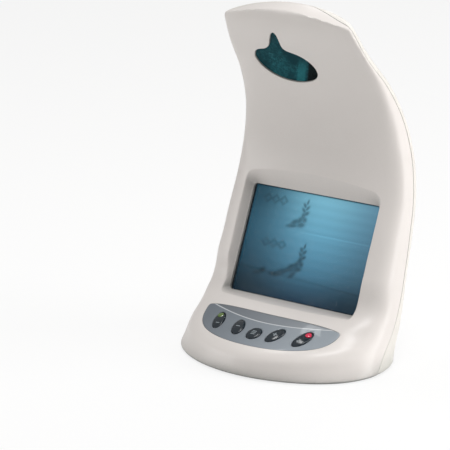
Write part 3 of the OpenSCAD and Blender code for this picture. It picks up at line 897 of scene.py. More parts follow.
# ------------------------------------------------------------------ material kinds
def plastic(name, color, rough=0.42, grain=2600, bump=0.05, spread=0.04, wear=0.25,
            dust=0.06, dark=None, coat=0.0, spec=0.5, crevice_shade=0.0):
    """Moulded plastic: fine grain, slow colour drift, worn bright edges, a little dust, and
    painted shade in recesses where asked for.
    """
    g = material_graph(name)
    shader = g.node("BsdfPrincipled")
    slow = g.noise(scale=9, detail=2)
    fine = g.noise(scale=70, detail=5, rough=0.6)
    base = g.mix(g.ramp(slow, 0.3, 0.7), toned(color, 1 - spread), toned(color, 1 + spread))
    dusty = g.calc("MULTIPLY", g.ramp(fine, 0.55, 0.8), dust)
    base = g.mix(dusty, base, dark or toned(color, 0.72))
    # speckled wear along convex edges
    edge = g.ramp(g.node("NewGeometry").outputs["Pointiness"], 0.52, 0.60)
    speck = g.ramp(g.noise(scale=420, detail=3, rough=0.7), 0.42, 0.62)
    worn = g.calc("MULTIPLY", g.calc("MULTIPLY", edge, speck), wear)
    base = g.mix(worn, base, toned(color, 1.18, 0.02))
    if crevice_shade:
        # painted shade: darker, slightly green where the surface is shut in, such as recess
        # walls and seams
        occlusion = g.node("AmbientOcclusion", {"Distance": 0.017}, samples=6)
        openness = g.ramp(occlusion.outputs["AO"], 0.40, 0.97)
        painted_shade = g.calc("MULTIPLY", g.calc("SUBTRACT", 1.0, openness), crevice_shade)
        tint = (0.93, 1.02, 1.0)
        base = g.mix(painted_shade, base, tuple(c * 0.30 * k for c, k in zip(color, tint)))
    # roughness drifts with the fine noise and drops where worn
    drift = g.calc("MULTIPLY", g.calc("SUBTRACT", fine, 0.5), 0.22)
    roughness = g.calc("SUBTRACT", g.calc("ADD", drift, rough),
                       g.calc("MULTIPLY", worn, 0.25), clamp=True)
    grain_fine = g.noise(scale=grain, detail=2, rough=0.6)
    grain_coarse = g.noise(scale=grain * 0.4, detail=3, rough=0.6)
    height = g.calc("ADD", grain_fine, g.calc("MULTIPLY", grain_coarse, 0.25))
    g.feed(shader, {
        "Base Color": base,
        "Roughness": roughness,
        "Specular IOR Level": spec,
        "Coat Weight": coat,
        "Coat Roughness": 0.12,
        "Normal": g.bump(height, strength=bump, distance=0.0001)})
    return g.finish(shader)


def rubber(name, color):
    return plastic(name, color, rough=0.75, grain=1200, bump=0.5, spread=0.2, wear=0.15,
                   dust=0.4, dark=tuple(c * 3 + 0.02 for c in color), spec=0.3)


def metal(name, color, rough=0.3, brushed=(1, 60, 1), wear=0.2):
    """Metal with streaks stretched by brushed and dark spots by wear."""
    g = material_graph(name)
    shader = g.node("BsdfPrincipled")
    mapping = g.node("Mapping", {"Scale": brushed, "Vector": g.coords["Object"]})
    streak = g.noise(scale=60, detail=4, rough=0.7, vector=mapping.outputs[0])
    spots = g.noise(scale=120, detail=4, rough=0.6)
    base = g.mix(streak, toned(color, 0.8), toned(color, 1.12))
    spotted = g.calc("MULTIPLY", g.ramp(spots, 0.55, 0.75), wear)
    g.feed(shader, {
        "Metallic": 1.0,
        "Base Color": g.mix(spotted, base, toned(color, 0.5)),
        "Roughness": g.calc("ADD", g.calc("MULTIPLY", streak, 0.25), rough - 0.1,
                            clamp=True),
        "Normal": g.bump(streak, strength=0.12, distance=0.0002)})
    return g.finish(shader)


def circuit_board(name, mask=(0.01, 0.12, 0.045)):
    """Solder mask with a brick pattern of tracks and pale dots."""
    g = material_graph(name)
    shader = g.node("BsdfPrincipled")
    coord = g.coords["Object"]
    brick = g.node("TexBrick", {"Scale": 260, "Mortar Size": 0.06, "Mortar Smooth": 0.2,
                                "Vector": coord}).outputs["Fac"]
    dots = g.node("TexVoronoi", {"Scale": 330, "Vector": coord}).outputs["Distance"]
    tracks = g.mix(brick, mask, toned(mask, 1.9, 0.01))
    is_dot = g.ramp(dots, 0.10, 0.16, start=1.0, end=0.0)
    g.feed(shader, {
        "Base Color": g.mix(is_dot, tracks, (0.72, 0.66, 0.45)),
        "Roughness": 0.28,
        "Coat Weight": 0.4,
        "Normal": g.bump(brick, strength=0.25, distance=0.0002)})
    return g.finish(shader)


def clear(name, tint, rough, ior, amount=0.12, streaks=0.1):
    """Thin clear pane: see-through tint, a fresnel reflection and faint wipe marks."""
    g = material_graph(name)
    through = g.node("BsdfTransparent", {"Color": tint})
    smear = g.noise(scale=34, detail=4, rough=0.65)
    roughness = g.calc("ADD", g.calc("MULTIPLY", smear, streaks), rough)
    gloss = g.node("BsdfGlossy", {"Roughness": roughness})
    marks = g.calc("MULTIPLY", g.ramp(smear, 0.5, 0.8), amount * 0.2)
    factor = g.calc("ADD", g.node("Fresnel", {"IOR": ior}), marks, clamp=True)
    return g.finish(g.mix_shader(factor, through, gloss))


def tinted_lens(name, color, glow):
    """Faintly glowing lens with a fine cell pattern."""
    g = material_graph(name)
    shader = g.node("BsdfPrincipled")
    cells = g.node("TexVoronoi", {"Scale": 1700, "Vector": g.coords["Object"]})
    base = g.mix(g.ramp(cells.outputs["Distance"], 0.1, 0.6), color,
                 toned(color, 1.35, 0.02))
    g.feed(shader, {
        "Base Color": base,
        "Emission Color": base,
        "Emission Strength": glow,
        "Roughness": 0.08,
        "Transmission Weight": 0.35,
        "IOR": 1.49,
        "Coat Weight": 0.6})
    return g.finish(shader)


def filter_material():
    """Mottled teal filter with one paler upright band, near black towards its right end."""
    g = material_graph("teal_filter")
    position = g.xyz()
    x, z = position["X"], position["Z"]
    broad = g.noise(scale=60, detail=4, rough=0.65)
    fine = g.noise(scale=620, detail=4, rough=0.75)
    patch = g.calc("MULTIPLY", g.ramp(broad, 0.42, 0.66),
                   g.ramp(fine, 0.38, 0.62, start=0.1))
    base = g.mix(patch, (0.003, 0.035, 0.045), (0.018, 0.115, 0.135))
    # x, leaning with height about z = 0.190 m
    lean = g.calc("MULTIPLY", g.calc("SUBTRACT", z, 0.190), 0.45)
    skew = g.calc("SUBTRACT", x, lean)
    # the band is centred on -1.0 mm, 2.6 mm to each side, and fades out above z = 0.2 m
    off_centre = g.calc("ABSOLUTE", g.calc("SUBTRACT", skew, -0.0010))
    away = g.calc("SUBTRACT", off_centre, 0.0026)
    in_band = g.calc("SUBTRACT", 1.0, g.calc("MULTIPLY", away, 900.0, clamp=True),
                     clamp=True)
    low = g.calc("MULTIPLY", g.calc("SUBTRACT", 0.2005, z), 110.0, clamp=True)
    band_share = g.calc("MULTIPLY", g.calc("MULTIPLY", in_band, low), 0.62)
    base = g.mix(band_share, base, (0.020, 0.155, 0.175))
    # the dark end starts 3 mm to the right
    dark = g.calc("MULTIPLY", g.calc("SUBTRACT", skew, 0.0030), 500.0, clamp=True)
    base = g.mix(g.calc("MULTIPLY", dark, 0.95), base, (0.0008, 0.0015, 0.002))
    through = g.node("BsdfTransparent", {
        "Color": g.mix(broad, (0.02, 0.16, 0.19), (0.05, 0.26, 0.29))})
    body = g.node("BsdfPrincipled", {
        "Base Color": base,
        # painted light: the filter glows faintly in its own colour, though it is no lamp
        "Emission Color": base,
        "Emission Strength": 0.25,
        "Roughness": 0.12,
        "Specular IOR Level": 0.05,
        "Normal": g.bump(g.noise(scale=45, detail=2), strength=0.05, distance=0.001)})
    return g.finish(g.mix_shader(0.78, through, body))


FASCIA_LINE_Y = -24.3       # design y of the line's middle
FASCIA_LINE_RISE = 0.0103   # metres the line runs back ...
FASCIA_LINE_HALF = 0.0495   # ... over this half width


def fascia_material():
    """Satin grey: a fine light line, a painted highlight, divides a darker rear strip from the
    button field; painted light makes it darker on the left and lighter on the right.
    """
    g = material_graph("fascia_grey")
    shader = g.node("BsdfPrincipled")
    position = g.xyz()
    x, y = position["X"], position["Y"]
    ratio = g.calc("DIVIDE", g.calc("ABSOLUTE", x), FASCIA_LINE_HALF)
    rise = g.calc("MULTIPLY", g.calc("POWER", ratio, 2.0), FASCIA_LINE_RISE)
    line_y = g.calc("ADD", rise, -(-FASCIA_LINE_Y + MID_Y) * 0.001)
    offset = g.calc("SUBTRACT", y, line_y)
    behind = g.calc("MULTIPLY_ADD", offset, 4000.0, 0.5, clamp=True)
    # the line is 0.22 mm to each side, with a soft edge
    past_line = g.calc("SUBTRACT", g.calc("ABSOLUTE", offset), 0.00022)
    on_highlight_line = g.calc("SUBTRACT", 1.0, g.calc("MULTIPLY", past_line, 6000.0, clamp=True),
                     clamp=True)
    drift = g.noise(scale=25, detail=3)
    speck = g.noise(scale=900, detail=3, rough=0.7)
    field = g.mix(drift, (0.200, 0.235, 0.272), (0.225, 0.26, 0.297))
    strip = g.mix(drift, (0.175, 0.200, 0.228), (0.195, 0.220, 0.250))
    base = g.mix(behind, field, strip)
    # painted light: darker on the left, lighter on the right, as the light falls across the
    # panel
    across = g.calc("MULTIPLY_ADD", x, 10.5, 0.5, clamp=True)
    shade = g.mix(across, (0.66, 0.66, 0.67), (1.24, 1.21, 1.18))
    base = g.mix(1.0, base, shade, "MULTIPLY")
    # painted highlight: the line is lightened as if it caught the light
    base = g.mix(g.calc("MULTIPLY", on_highlight_line, 0.85), base, (0.62, 0.64, 0.66))
    specks = g.calc("MULTIPLY", g.ramp(speck, 0.6, 0.8), 0.08)
    base = g.mix(specks, base, (0.45, 0.46, 0.47))
    grain = g.calc("MULTIPLY", g.noise(scale=3000, detail=2), 0.3)
    height = g.calc("ADD", grain, g.calc("MULTIPLY", on_highlight_line, -1.0))
    g.feed(shader, {
        "Base Color": base,
        "Roughness": g.calc("ADD", g.calc("MULTIPLY", speck, 0.15), 0.28),
        "Coat Weight": 0.25,
        "Normal": g.bump(height, strength=0.15, distance=0.0003)})
    return g.finish(shader)


def display_material():
    """Shows the vertex colours as light, behind a fine lattice of display cells."""
    g = material_graph("lit_display")
    picture = g.node("Attribute", attribute_name="picture").outputs["Color"]
    position = g.xyz()
    columns = g.calc("PINGPONG", position["X"], 0.00016)
    rows = g.calc("PINGPONG", position["Z"], 0.00015)
    cells = g.calc("MULTIPLY", g.calc("GREATER_THAN", columns, 0.00002),
                   g.calc("GREATER_THAN", rows, 0.00002))
    gain = g.calc("ADD", g.calc("MULTIPLY", cells, 0.08), 0.94)
    return g.finish(g.node("BsdfPrincipled", {
        "Base Color": (0.01, 0.012, 0.015),
        "Roughness": 0.5,
        "Specular IOR Level": 0.1,
        "Emission Color": g.mix(1.0, picture, gain, "MULTIPLY"),
        "Emission Strength": 1.0}))


def floor_material():
    """Pale floor, mostly self-lit to the camera."""
    g = material_graph("pale_floor")
    matt = g.node("BsdfPrincipled", {
        "Base Color": g.mix(g.noise(scale=3, detail=2), (0.86, 0.86, 0.855),
                            (0.875, 0.875, 0.87)),
        "Roughness": 0.6,
        "Specular IOR Level": 0.2})
    lit = g.node("Emission", {"Strength": 1.0})
    is_camera = g.node("LightPath").outputs["Is Camera Ray"]
    return g.finish(g.mix_shader(g.calc("MULTIPLY", is_camera, 0.8), matt, lit))


# ------------------------------------------------------------------ materials
# the shells carry painted shade in their recesses and seams
M_SHELL = plastic("shell_plastic", (0.70, 0.66, 0.635), rough=0.36, grain=3200, bump=0.045,
                  spread=0.012, dust=0.03, coat=0.10, crevice_shade=1.0)
M_BACK = plastic("back_plastic", (0.70, 0.675, 0.635), bump=0.07, spread=0.012, dust=0.03,
                 coat=0.05, crevice_shade=0.6)
M_BUTTON = plastic("button_plastic", (0.014, 0.021, 0.028), rough=0.12, grain=2200,
                   bump=0.01, spread=0.15, wear=0.10, dust=0.1, dark=(0.035, 0.04, 0.045),
                   coat=0.12, spec=0.32)
M_MARK = plastic("button_mark", (0.20, 0.23, 0.25), rough=0.4, grain=2200, bump=0.02)
M_BLACK = plastic("black_plastic", (0.018, 0.018, 0.02), rough=0.4, grain=2000, bump=0.06,
                  spread=0.15, dark=(0.06, 0.06, 0.06))
M_BASE = plastic("base_plastic", (0.022, 0.022, 0.024), rough=0.55, grain=900, bump=0.35,
                 spread=0.2, dark=(0.06, 0.055, 0.05), dust=0.3)
M_CHIP = plastic("chip_epoxy", (0.02, 0.02, 0.022), rough=0.5, grain=2400, bump=0.12,
                 spread=0.2)
M_WHITE = plastic("reflector_white", (0.82, 0.83, 0.84), rough=0.45, grain=1800)
M_CABLE = plastic("flat_cable", (0.42, 0.41, 0.38), rough=0.45, grain=900, bump=0.3)
M_LED = plastic("led_epoxy", (0.05, 0.035, 0.09), rough=0.1, grain=1500, bump=0.01, coat=1.0)
M_STEEL = metal("sheet_steel", (0.62, 0.63, 0.65), rough=0.34)
M_SCREW = metal("zinc_plate", (0.55, 0.56, 0.58), brushed=(8, 8, 8), wear=0.5)
M_WEIGHT = metal("cast_weight", (0.18, 0.18, 0.19), rough=0.6, brushed=(3, 3, 3), wear=0.7)
M_PCB = circuit_board("circuit_board")
M_LENSGLASS = clear("coated_lens", (0.35, 0.30, 0.75), rough=0.01, ior=1.7)
M_WINDOW = clear("screen_pane", (0.95, 0.98, 0.99), rough=0.04, ior=1.10, amount=0.05)
M_GREEN = tinted_lens("green_lamp", (0.085, 0.155, 0.015), glow=0.03)
M_RED = tinted_lens("red_lamp", (0.62, 0.018, 0.075), glow=0.10)
M_RUBBER = rubber("foot_rubber", (0.02, 0.02, 0.02))
M_PAD = rubber("silicone_pad", (0.36, 0.36, 0.34))
M_FILTER = filter_material()
M_FASCIA = fascia_material()

# ------------------------------------------------------------------ the two shells
FINENESS = 1.0      # scale of the shells' grids
front = Side(True, column_count=int(176 * FINENESS), row_step=1.45 / FINENESS)
back = Side(False, column_count=int(132 * FINENESS), row_step=1.9 / FINENESS)


def head_rows(side):
    """Rows over the head: each column climbs from HEAD_Z to the roof, then to its seam."""
    columns = side.columns
    count = len(columns)
    start = side.point_at_height(np.full(count, HEAD_Z))

    def below_roof(z):
        spot = side.point_at_height(z)
        return z - roof_z(spot[:, 0], spot[:, 1]) < 0

    edge_z = bisect(below_roof, count, 215.0, 241.9, 40)
    edge = side.point_at_height(edge_z)
    seam_x = SEAM_HALF_X * (0.87 * edge[:, 0] / np.abs(edge[:, 0]).max()
                            + 0.13 * columns / HALF_X)
    seam_y = roof_seam_y(seam_x) - side.sign * SEAM_OFF
    seam = np.stack([seam_x, seam_y, roof_z(seam_x, seam_y)], -1)
    climb = np.linalg.norm(edge - start, axis=1)
    cross = np.linalg.norm(seam - edge, axis=1)
    rows = []
    for j in range(1, HEAD_ROWS + 1):
        travel = j / HEAD_ROWS * (climb + cross)
        on_wall = side.point_at_height(HEAD_Z + (edge_z - HEAD_Z)
                                       * np.clip(travel / climb, 0, 1))
        share = np.clip((travel - climb) / cross, 0, 1)[:, None]
        plan = edge[:, :2] + (seam[:, :2] - edge[:, :2]) * share
        on_roof = np.column_stack([plan, roof_z(plan[:, 0], plan[:, 1])])
        ray = np.where((travel > climb)[:, None], on_roof, on_wall) - HEAD_CENTRE
        ray = ray / np.linalg.norm(ray, axis=1)[:, None]
        centre = np.tile(HEAD_CENTRE, (count, 1))
        rows.append(cast(centre, ray, 2.0, 90.0, gap=body_gap, steps=40))
    return rows


def build_side(side, holes):
    """Open outer surface of one shell, with outward faces."""
    flat, faces = cut_grid(side.columns, side.rows, holes)
    parts = [side.point(flat[:, 0], flat[:, 1])]
    width = len(side.columns)
    previous = np.arange(width) + (len(side.rows) - 1) * width
    count = len(flat)
    for row in head_rows(side):
        index = np.arange(width) + count
        count += width
        parts.append(row)
        faces += [(previous[i], previous[i + 1], index[i + 1], index[i])
                  for i in range(width - 1)]
        previous = index
    points, faces = tidy(np.vstack(parts), faces)
    behind_seam = np.sign(points[:, 1] - at(SEAM_Y, points[:, 2]))
    if (vertex_normals(points, faces)[:, 1] * behind_seam).mean() < 0:
        faces = flipped(faces)
    return points, faces


hood_inner, hood_outer = hood_loops()
hood_foot = SCREEN.to_world(
    np.column_stack([hood_inner, np.full(len(hood_inner), HOOD_FOOT_Z)]))
hood_mouth = SCREEN.project(hood_outer, -9, 12)


def hood_rings(edge, normal, away):
    """From the mouth over a soft lip to the screen, then out under the shell."""
    nearest = ((edge[:, None, :] - hood_mouth[None]) ** 2).sum(2).argmin(1)
    foot, up = hood_foot[nearest], (hood_mouth - hood_foot)[nearest]
    up = up / np.linalg.norm(up, axis=1)[:, None]
    lip_end = edge + away * 0.5 - up * 1.1
    rings = []
    for k in range(1, 5):
        s = k / 4
        rings.append((1 - s) ** 2 * edge + 2 * s * (1 - s) * (edge + away * 0.55)
                     + s * s * lip_end)
    base = rings[-1]
    rings += [base + (foot - base) * s for s in (0.2, 0.45, 0.7, 0.9)]
    below = foot - SCREEN.z * 1.5
    rings += [foot + SCREEN.z * 0.35, foot, below]
    # spread sideways, away from the straight sides of the opening
    local = SCREEN.to_local(foot)[:, :2]
    side = np.sign(local) * (np.abs(local) > [50.7, 35.8])
    spread = side[:, 0:1] * SCREEN.x + side[:, 1:2] * SCREEN.y
    rings.append(below + spread * 1.8)
    rings.append(edge - normal * WALL + spread * 0.6)
    return rings


def shell_profile(edge, normal, away):
    """Rings for the front shell's openings, and for either shell's outer edge."""
    mean_z, height = edge[:, 2].mean(), np.ptp(edge[:, 2])
    if len(edge) == len(hood_mouth) and 50 < mean_z < 100 and height < 110:
        return hood_rings(edge, normal, away)
    if mean_z > 150 and height < 60:        # the filter window
        rings = rounded_lip(edge, normal, away, WINDOW_LIP, 4)
        base = rings[-1]
        return rings + [base - HEAD.z * (WALL + 1.6) * s for s in (0.5, 1.0)]
    if mean_z < 60 and height < 40:         # the fascia's pocket
        rings = rounded_lip(edge, normal, away, POCKET_LIP, 3)
        return rings + [rings[-1] - normal * (WALL - POCKET_LIP)]
    # seam and lower edge
    low = np.clip((FOOT_BLEND_Z - edge[:, 2]) / 1.0, 0, 1)[:, None]
    radius = SEAM_R + low * (FOOT_R - SEAM_R)
    rings = rounded_lip(edge, normal, away, radius, 5)
    for _ in range(2):
        rings.append(rings[-1] - normal * (WALL - radius) * 0.5)
    return rings


front_holes = [front.domain(loop) for loop in (
    hood_mouth,
    HEAD.project(window_outline(WINDOW_HOLE_GROWTH), -14, 12),
    project_up(fascia_outline(POCKET_LIP)))]
emit("front_shell_skin", *thicken(*build_side(front, front_holes), shell_profile, WALL),
     "casing", "front_shell", "shell", M_SHELL)

# back shell: two columns of slots, screw wells and two round openings low down
SLOT_COLUMNS = (-24, 24)
SLOT_COUNT = 7
SLOT_FIRST_Z = 62
SLOT_PITCH = 6.5
SLOT_HALF_LENGTH = 12
SLOT_RADIUS = 1.2
WELLS = [(56, 118, 0), (44, 178, 0), (34, 213, 4)]     # |x|, z, floor's shift to the back
WELL_RADIUS = 3.7
WELL_FLOOR = 3.2                                       # floor's distance behind the seam
ROUND_OPENINGS = [(30, 15, 5.75, 36), (-30, 15, 4.75, 32)]     # x, z, radius, points
BACK_LIP = 0.35


def slot_outline(centre_x, centre_z):
    angle = np.linspace(-np.pi / 2, np.pi / 2, 9)
    reach, radius = SLOT_HALF_LENGTH, SLOT_RADIUS
    run = np.linspace(reach, -reach, 22)[1:-1]
    points = [(reach + radius * math.cos(a), radius * math.sin(a)) for a in angle]
    points += [(x, radius) for x in run]
    points += [(-reach - radius * math.cos(a), radius * math.sin(a)) for a in angle[::-1]]
    points += [(x, -radius) for x in np.linspace(-reach, reach, 22)[1:-1]]
    return np.array([(centre_x + x, centre_z + z) for x, z in points])


def circle(x, z, radius, count=28):
    angle = np.linspace(0, 2 * np.pi, count, endpoint=False)
    return np.stack([x + radius * np.cos(angle), z + radius * np.sin(angle)], -1)


def well_rings(base):
    """Straight well to a floor pierced for the screw, closed behind the floor."""
    x, z = base[:, 0].mean(), base[:, 2].mean()
    floor_y = next(float(at(SEAM_Y, well_z)) + shift + WELL_FLOOR
                   for well_x, well_z, shift in WELLS
                   if abs(abs(x) - well_x) < 3 and abs(z - well_z) < 4)
    rings = []
    for s in (0.33, 0.66, 1.0):
        ring = base.copy()
        ring[:, 1] = base[:, 1] + (floor_y - base[:, 1]) * s
        rings.append(ring)
    spoke = rings[-1] - [rings[-1][:, 0].mean(), floor_y, rings[-1][:, 2].mean()]
    spoke[:, 1] = 0
    rings.append(rings[-1] - spoke * 0.48)
    rings.append(rings[-1] - [0, 1.6, 0])
    rings.append(rings[-1] + spoke * 0.85)
    return rings


def back_profile(edge, normal, away):
    size = np.ptp(edge, axis=0)
    if size.max() > 100:
        return shell_profile(edge, normal, away)
    rings = rounded_lip(edge, normal, away, BACK_LIP, 3)
    if size[0] < 12 and edge[:, 2].mean() > 100:
        return rings + well_rings(rings[-1])
    return rings + [rings[-1] - normal * (WALL - BACK_LIP)]


back_loops = [project_back(slot_outline(x, SLOT_FIRST_Z + SLOT_PITCH * k))
              for x in SLOT_COLUMNS for k in range(SLOT_COUNT)]
for well_x, well_z, shift in WELLS:
    for sign in (-1, 1):
        nearest_y = float(at(SEAM_Y, well_z)) + shift + 1.0
        back_loops.append(project_back(circle(sign * well_x, well_z, WELL_RADIUS),
                                       nearest_y, 95.0))
back_loops += [project_back(circle(*opening)) for opening in ROUND_OPENINGS]
back_holes = [back.domain(loop) for loop in back_loops]
emit("back_shell_skin", *thicken(*build_side(back, back_holes), back_profile, WALL),
     "casing", "back_shell", "back_shell", M_BACK)


# ------------------------------------------------------------------ fascia
def fascia_profile(edge, normal, away):
    radius = FASCIA_LIP if np.ptp(edge[:, 0]) > 60 else BUTTON_HOLE_LIP
    rings = rounded_lip(edge, normal, away, radius, 3)
    return rings + [rings[-1] - normal * (FASCIA_THICK - radius)]


def fascia_mesh():
    spacing, border = 0.9, 2
    outer = front.domain(project_up(fascia_outline(-FASCIA_GAP - FASCIA_LIP)))
    holes = [front.domain(PANEL.project(button.outline(BUTTON_GAP + BUTTON_HOLE_LIP), -9, 9))
             for button in BUTTONS]
    low, high = outer.min(0) - border, outer.max(0) + border + 0.01
    columns, rows = (np.arange(low[k], high[k], spacing) for k in range(2))
    flat, faces = cut_grid(columns, rows, holes, outer)
    points, faces = tidy(front.point(flat[:, 0], flat[:, 1]), faces)
    if vertex_normals(points, faces)[:, 2].mean() < 0:
        faces = flipped(faces)
    return thicken(points, faces, fascia_profile, FASCIA_THICK)


emit("fascia_panel", *fascia_mesh(), "casing", "control_fascia", "fascia", M_FASCIA)

# ------------------------------------------------------------------ buttons and their marks
for number, (button, marks) in enumerate(zip(BUTTONS, MARKS), 1):
    body = "button_%d" % number
    emit("button_cap_%d" % number, *button.cap(), body, body, "button", M_BUTTON, angle=50)
    mark_points, mark_faces, count = [], [], 0
    for row in marks:
        points, faces = button.mark(*row)
        mark_points.append(points)
        mark_faces += [tuple(v + count for v in face) for face in faces]
        count += len(points)
    emit("button_mark_%d" % number, np.vstack(mark_points), mark_faces, body, None,
         "button", M_MARK, angle=60)

# ------------------------------------------------------------------ filter pane
PANE_CENTRE = np.array([-0.5, 2.2])
PANE_SCALES = (0.04, 0.12, 0.2, 0.3, 0.4, 0.5, 0.6, 0.7, 0.8, 0.88, 0.95)
PANE_SINK = 1.3                     # below the head's surface
PANE_RIM = 0.28
PANE_FLANGE_WIDTH = 1.9
PANE_FLANGE_Z = (-4.5, -5.8)        # upper and lower face, in the head's frame


def window_pane():
    """Pane following the head's curve, with a rounded rim and a flange behind the shell."""
    outline = window_outline(0.0)
    normal = outward(outline, 1)
    count = len(outline)

    def height(flat):
        return HEAD.to_local(HEAD.project(flat, -14, 12))[:, 2] - PANE_SINK

    rings = []
    for s in PANE_SCALES:
        flat = PANE_CENTRE + (outline - PANE_CENTRE) * s
        rings.append(np.column_stack([flat, height(flat)]))
    rim_height = height(outline)
    for k in range(5):
        angle = k / 4 * math.pi / 2
        flat = outline + normal * PANE_RIM * math.sin(angle)
        rings.append(np.column_stack([flat, rim_height - PANE_RIM * (1 - math.cos(angle))]))
    upper, lower = PANE_FLANGE_Z
    flange = outline + normal * PANE_FLANGE_WIDTH
    for flat, z in ((flat, upper), (flange, upper), (flange, lower)):
        rings.append(np.column_stack([flat, np.full(count, z)]))
    centres = [[*PANE_CENTRE, float(height(PANE_CENTRE[None])[0])], [*PANE_CENTRE, lower]]
    points = HEAD.to_world(np.vstack(rings + [np.array(centres)]))
    return points, stack_faces(len(rings), count, tube=False)


emit("filter_pane", *window_pane(), "casing", "ir_window", "filter", M_FILTER, angle=50)

# ------------------------------------------------------------------ screen picture
PANEL_HALF = (56.15, 42.15)         # half size of the display
LIT_HALF = (52.0, 37.5)             # picture coordinates run -1 .. 1 over this
PANEL_POINTS = (330, 248)
PANEL_Z = (-9.9, -12.2)             # front and rear face, in the screen's frame
ASPECT = 1.39                       # stretches picture x for round shapes

# leaves: x, y, half length, half width, turn
SPRIG = [
    (0.235, 0.33, 0.05, 0.022, 1.4), (0.20, 0.26, 0.05, 0.028, 2.2),
    (0.25, 0.22, 0.055, 0.028, 0.9), (0.20, 0.17, 0.06, 0.030, 2.4),
    (0.25, 0.12, 0.06, 0.035, 0.7), (0.21, 0.06, 0.075, 0.045, 1.5),
    (0.17, -0.02, 0.085, 0.05, 0.9), (0.24, 0.00, 0.05, 0.05, 1.2),
    (0.10, -0.07, 0.09, 0.045, 0.5), (0.20, -0.10, 0.085, 0.05, 0.2),
    (0.07, -0.14, 0.12, 0.035, 0.15)]
MOUND = [
    (-0.02, -0.19, 0.17, 0.055, 0.35), (-0.14, -0.27, 0.13, 0.045, 0.1),
    (-0.34, -0.24, 0.07, 0.05, 0.8), (-0.42, -0.30, 0.09, 0.03, 0.1),
    (0.14, -0.20, 0.10, 0.05, 0.9)]
# dim corners: x, y, spread x, spread y, strength
DIM_CORNERS = [(-0.95, 0.95, 0.16, 0.22, 0.50), (0.95, -0.95, 0.30, 0.20, 0.45),
               (-0.95, -0.95, 0.20, 0.20, 0.35)]


def soft_step(amount, width):
    return 1 / (1 + np.exp(-np.clip(amount / width, -40, 40)))


def leaf(x, y, centre_x, centre_y, half_length, half_width, turn):
    cosine, sine = math.cos(turn), math.sin(turn)
    dx, dy = (x - centre_x) * ASPECT, y - centre_y
    along = (dx * cosine + dy * sine) / half_length
    across = (-dx * sine + dy * cosine) / half_width
    return soft_step(1 - np.sqrt(along * along + across * across), 0.22)


def note_ink(x, y, level, with_mound, sprig_shift, diamond_shift):
    """Ink of one banknote: three hollow diamonds and a sprig, perhaps on a low mound."""
    ink = np.zeros_like(x)
    for centre in (-0.72, -0.59, -0.46):
        reach = (np.abs(x - centre - diamond_shift) * ASPECT
                 + np.abs(y - level - 0.28)) / 0.105
        ink = np.maximum(ink, 0.62 * soft_step(0.22 - np.abs(reach - 0.72), 0.10))
    for strength, leaves in ((1.0, SPRIG), (0.85, MOUND if with_mound else [])):
        for leaf_x, leaf_y, *shape in leaves:
            drawn = leaf(x, y, leaf_x + sprig_shift, level + leaf_y, *shape)
            ink = np.maximum(ink, strength * drawn)
    return ink


def picture_colors(x, y):
    """Colours of the lit picture over coordinates x and y."""
    rng = np.random.default_rng(7)
    # soft light field: three tones upwards, falling off to the sides
    top = np.array([0.275, 0.535, 0.645])
    middle = np.array([0.135, 0.345, 0.48])
    bottom = np.array([0.012, 0.040, 0.075])
    left = np.array([0.030, 0.115, 0.175])
    right = np.array([0.13, 0.225, 0.30])
    t = np.clip((y + 1) / 2, 0, 1)[..., None]
    base = bottom * (1 - t) ** 2.0 + middle * 2 * t * (1 - t) * 1.25 + top * t**2
    centred = np.exp(-((x - 0.12) / 0.75) ** 2)[..., None]
    side = np.where((x < 0)[..., None], left, right)
    image = base * centred + (side * (0.35 + 0.75 * t)) * (1 - centred)
    # the upper and the lower note
    light = np.ones_like(x)
    light *= 1 - 0.50 * note_ink(x, y, 0.50, with_mound=False, sprig_shift=-0.38,
                                 diamond_shift=-0.07)
    light *= 1 - 0.58 * note_ink(x, y, -0.30, with_mound=True, sprig_shift=-0.27,
                                 diamond_shift=0.06)
    # a light line, a dim strip, a sloping dark line, faint ripples and grain
    light *= 1 + 0.20 * np.exp(-((y - 0.27) / 0.012) ** 2) * soft_step(x + 0.2, 0.2)
    light *= 1 - 0.10 * soft_step(-(y + 0.62), 0.02) * soft_step(y + 0.90, 0.02)
    light *= 1 - 0.22 * np.exp(-((y + 0.58 + 0.06 * x) / 0.02) ** 2)
    light *= 1 + 0.025 * np.sin(y * 38)
    light *= 1 + 0.012 * rng.standard_normal(light.shape)
    image = np.clip(image * light[..., None], 0, 1) ** 1.22
    for cx, cy, spread_x, spread_y, strength in DIM_CORNERS:
        spot = np.exp(-((x - cx) ** 2 / spread_x + (y - cy) ** 2 / spread_y))
        image *= (1 - strength * spot)[..., None]
    # a dark margin round the lit area
    lit = (soft_step(1.036 - np.abs(x), 0.006) * soft_step(0.985 - np.abs(y), 0.006))
    lit = lit[..., None]
    return np.clip(image * lit + np.array([0.004, 0.006, 0.008]) * (1 - lit), 0, 1)


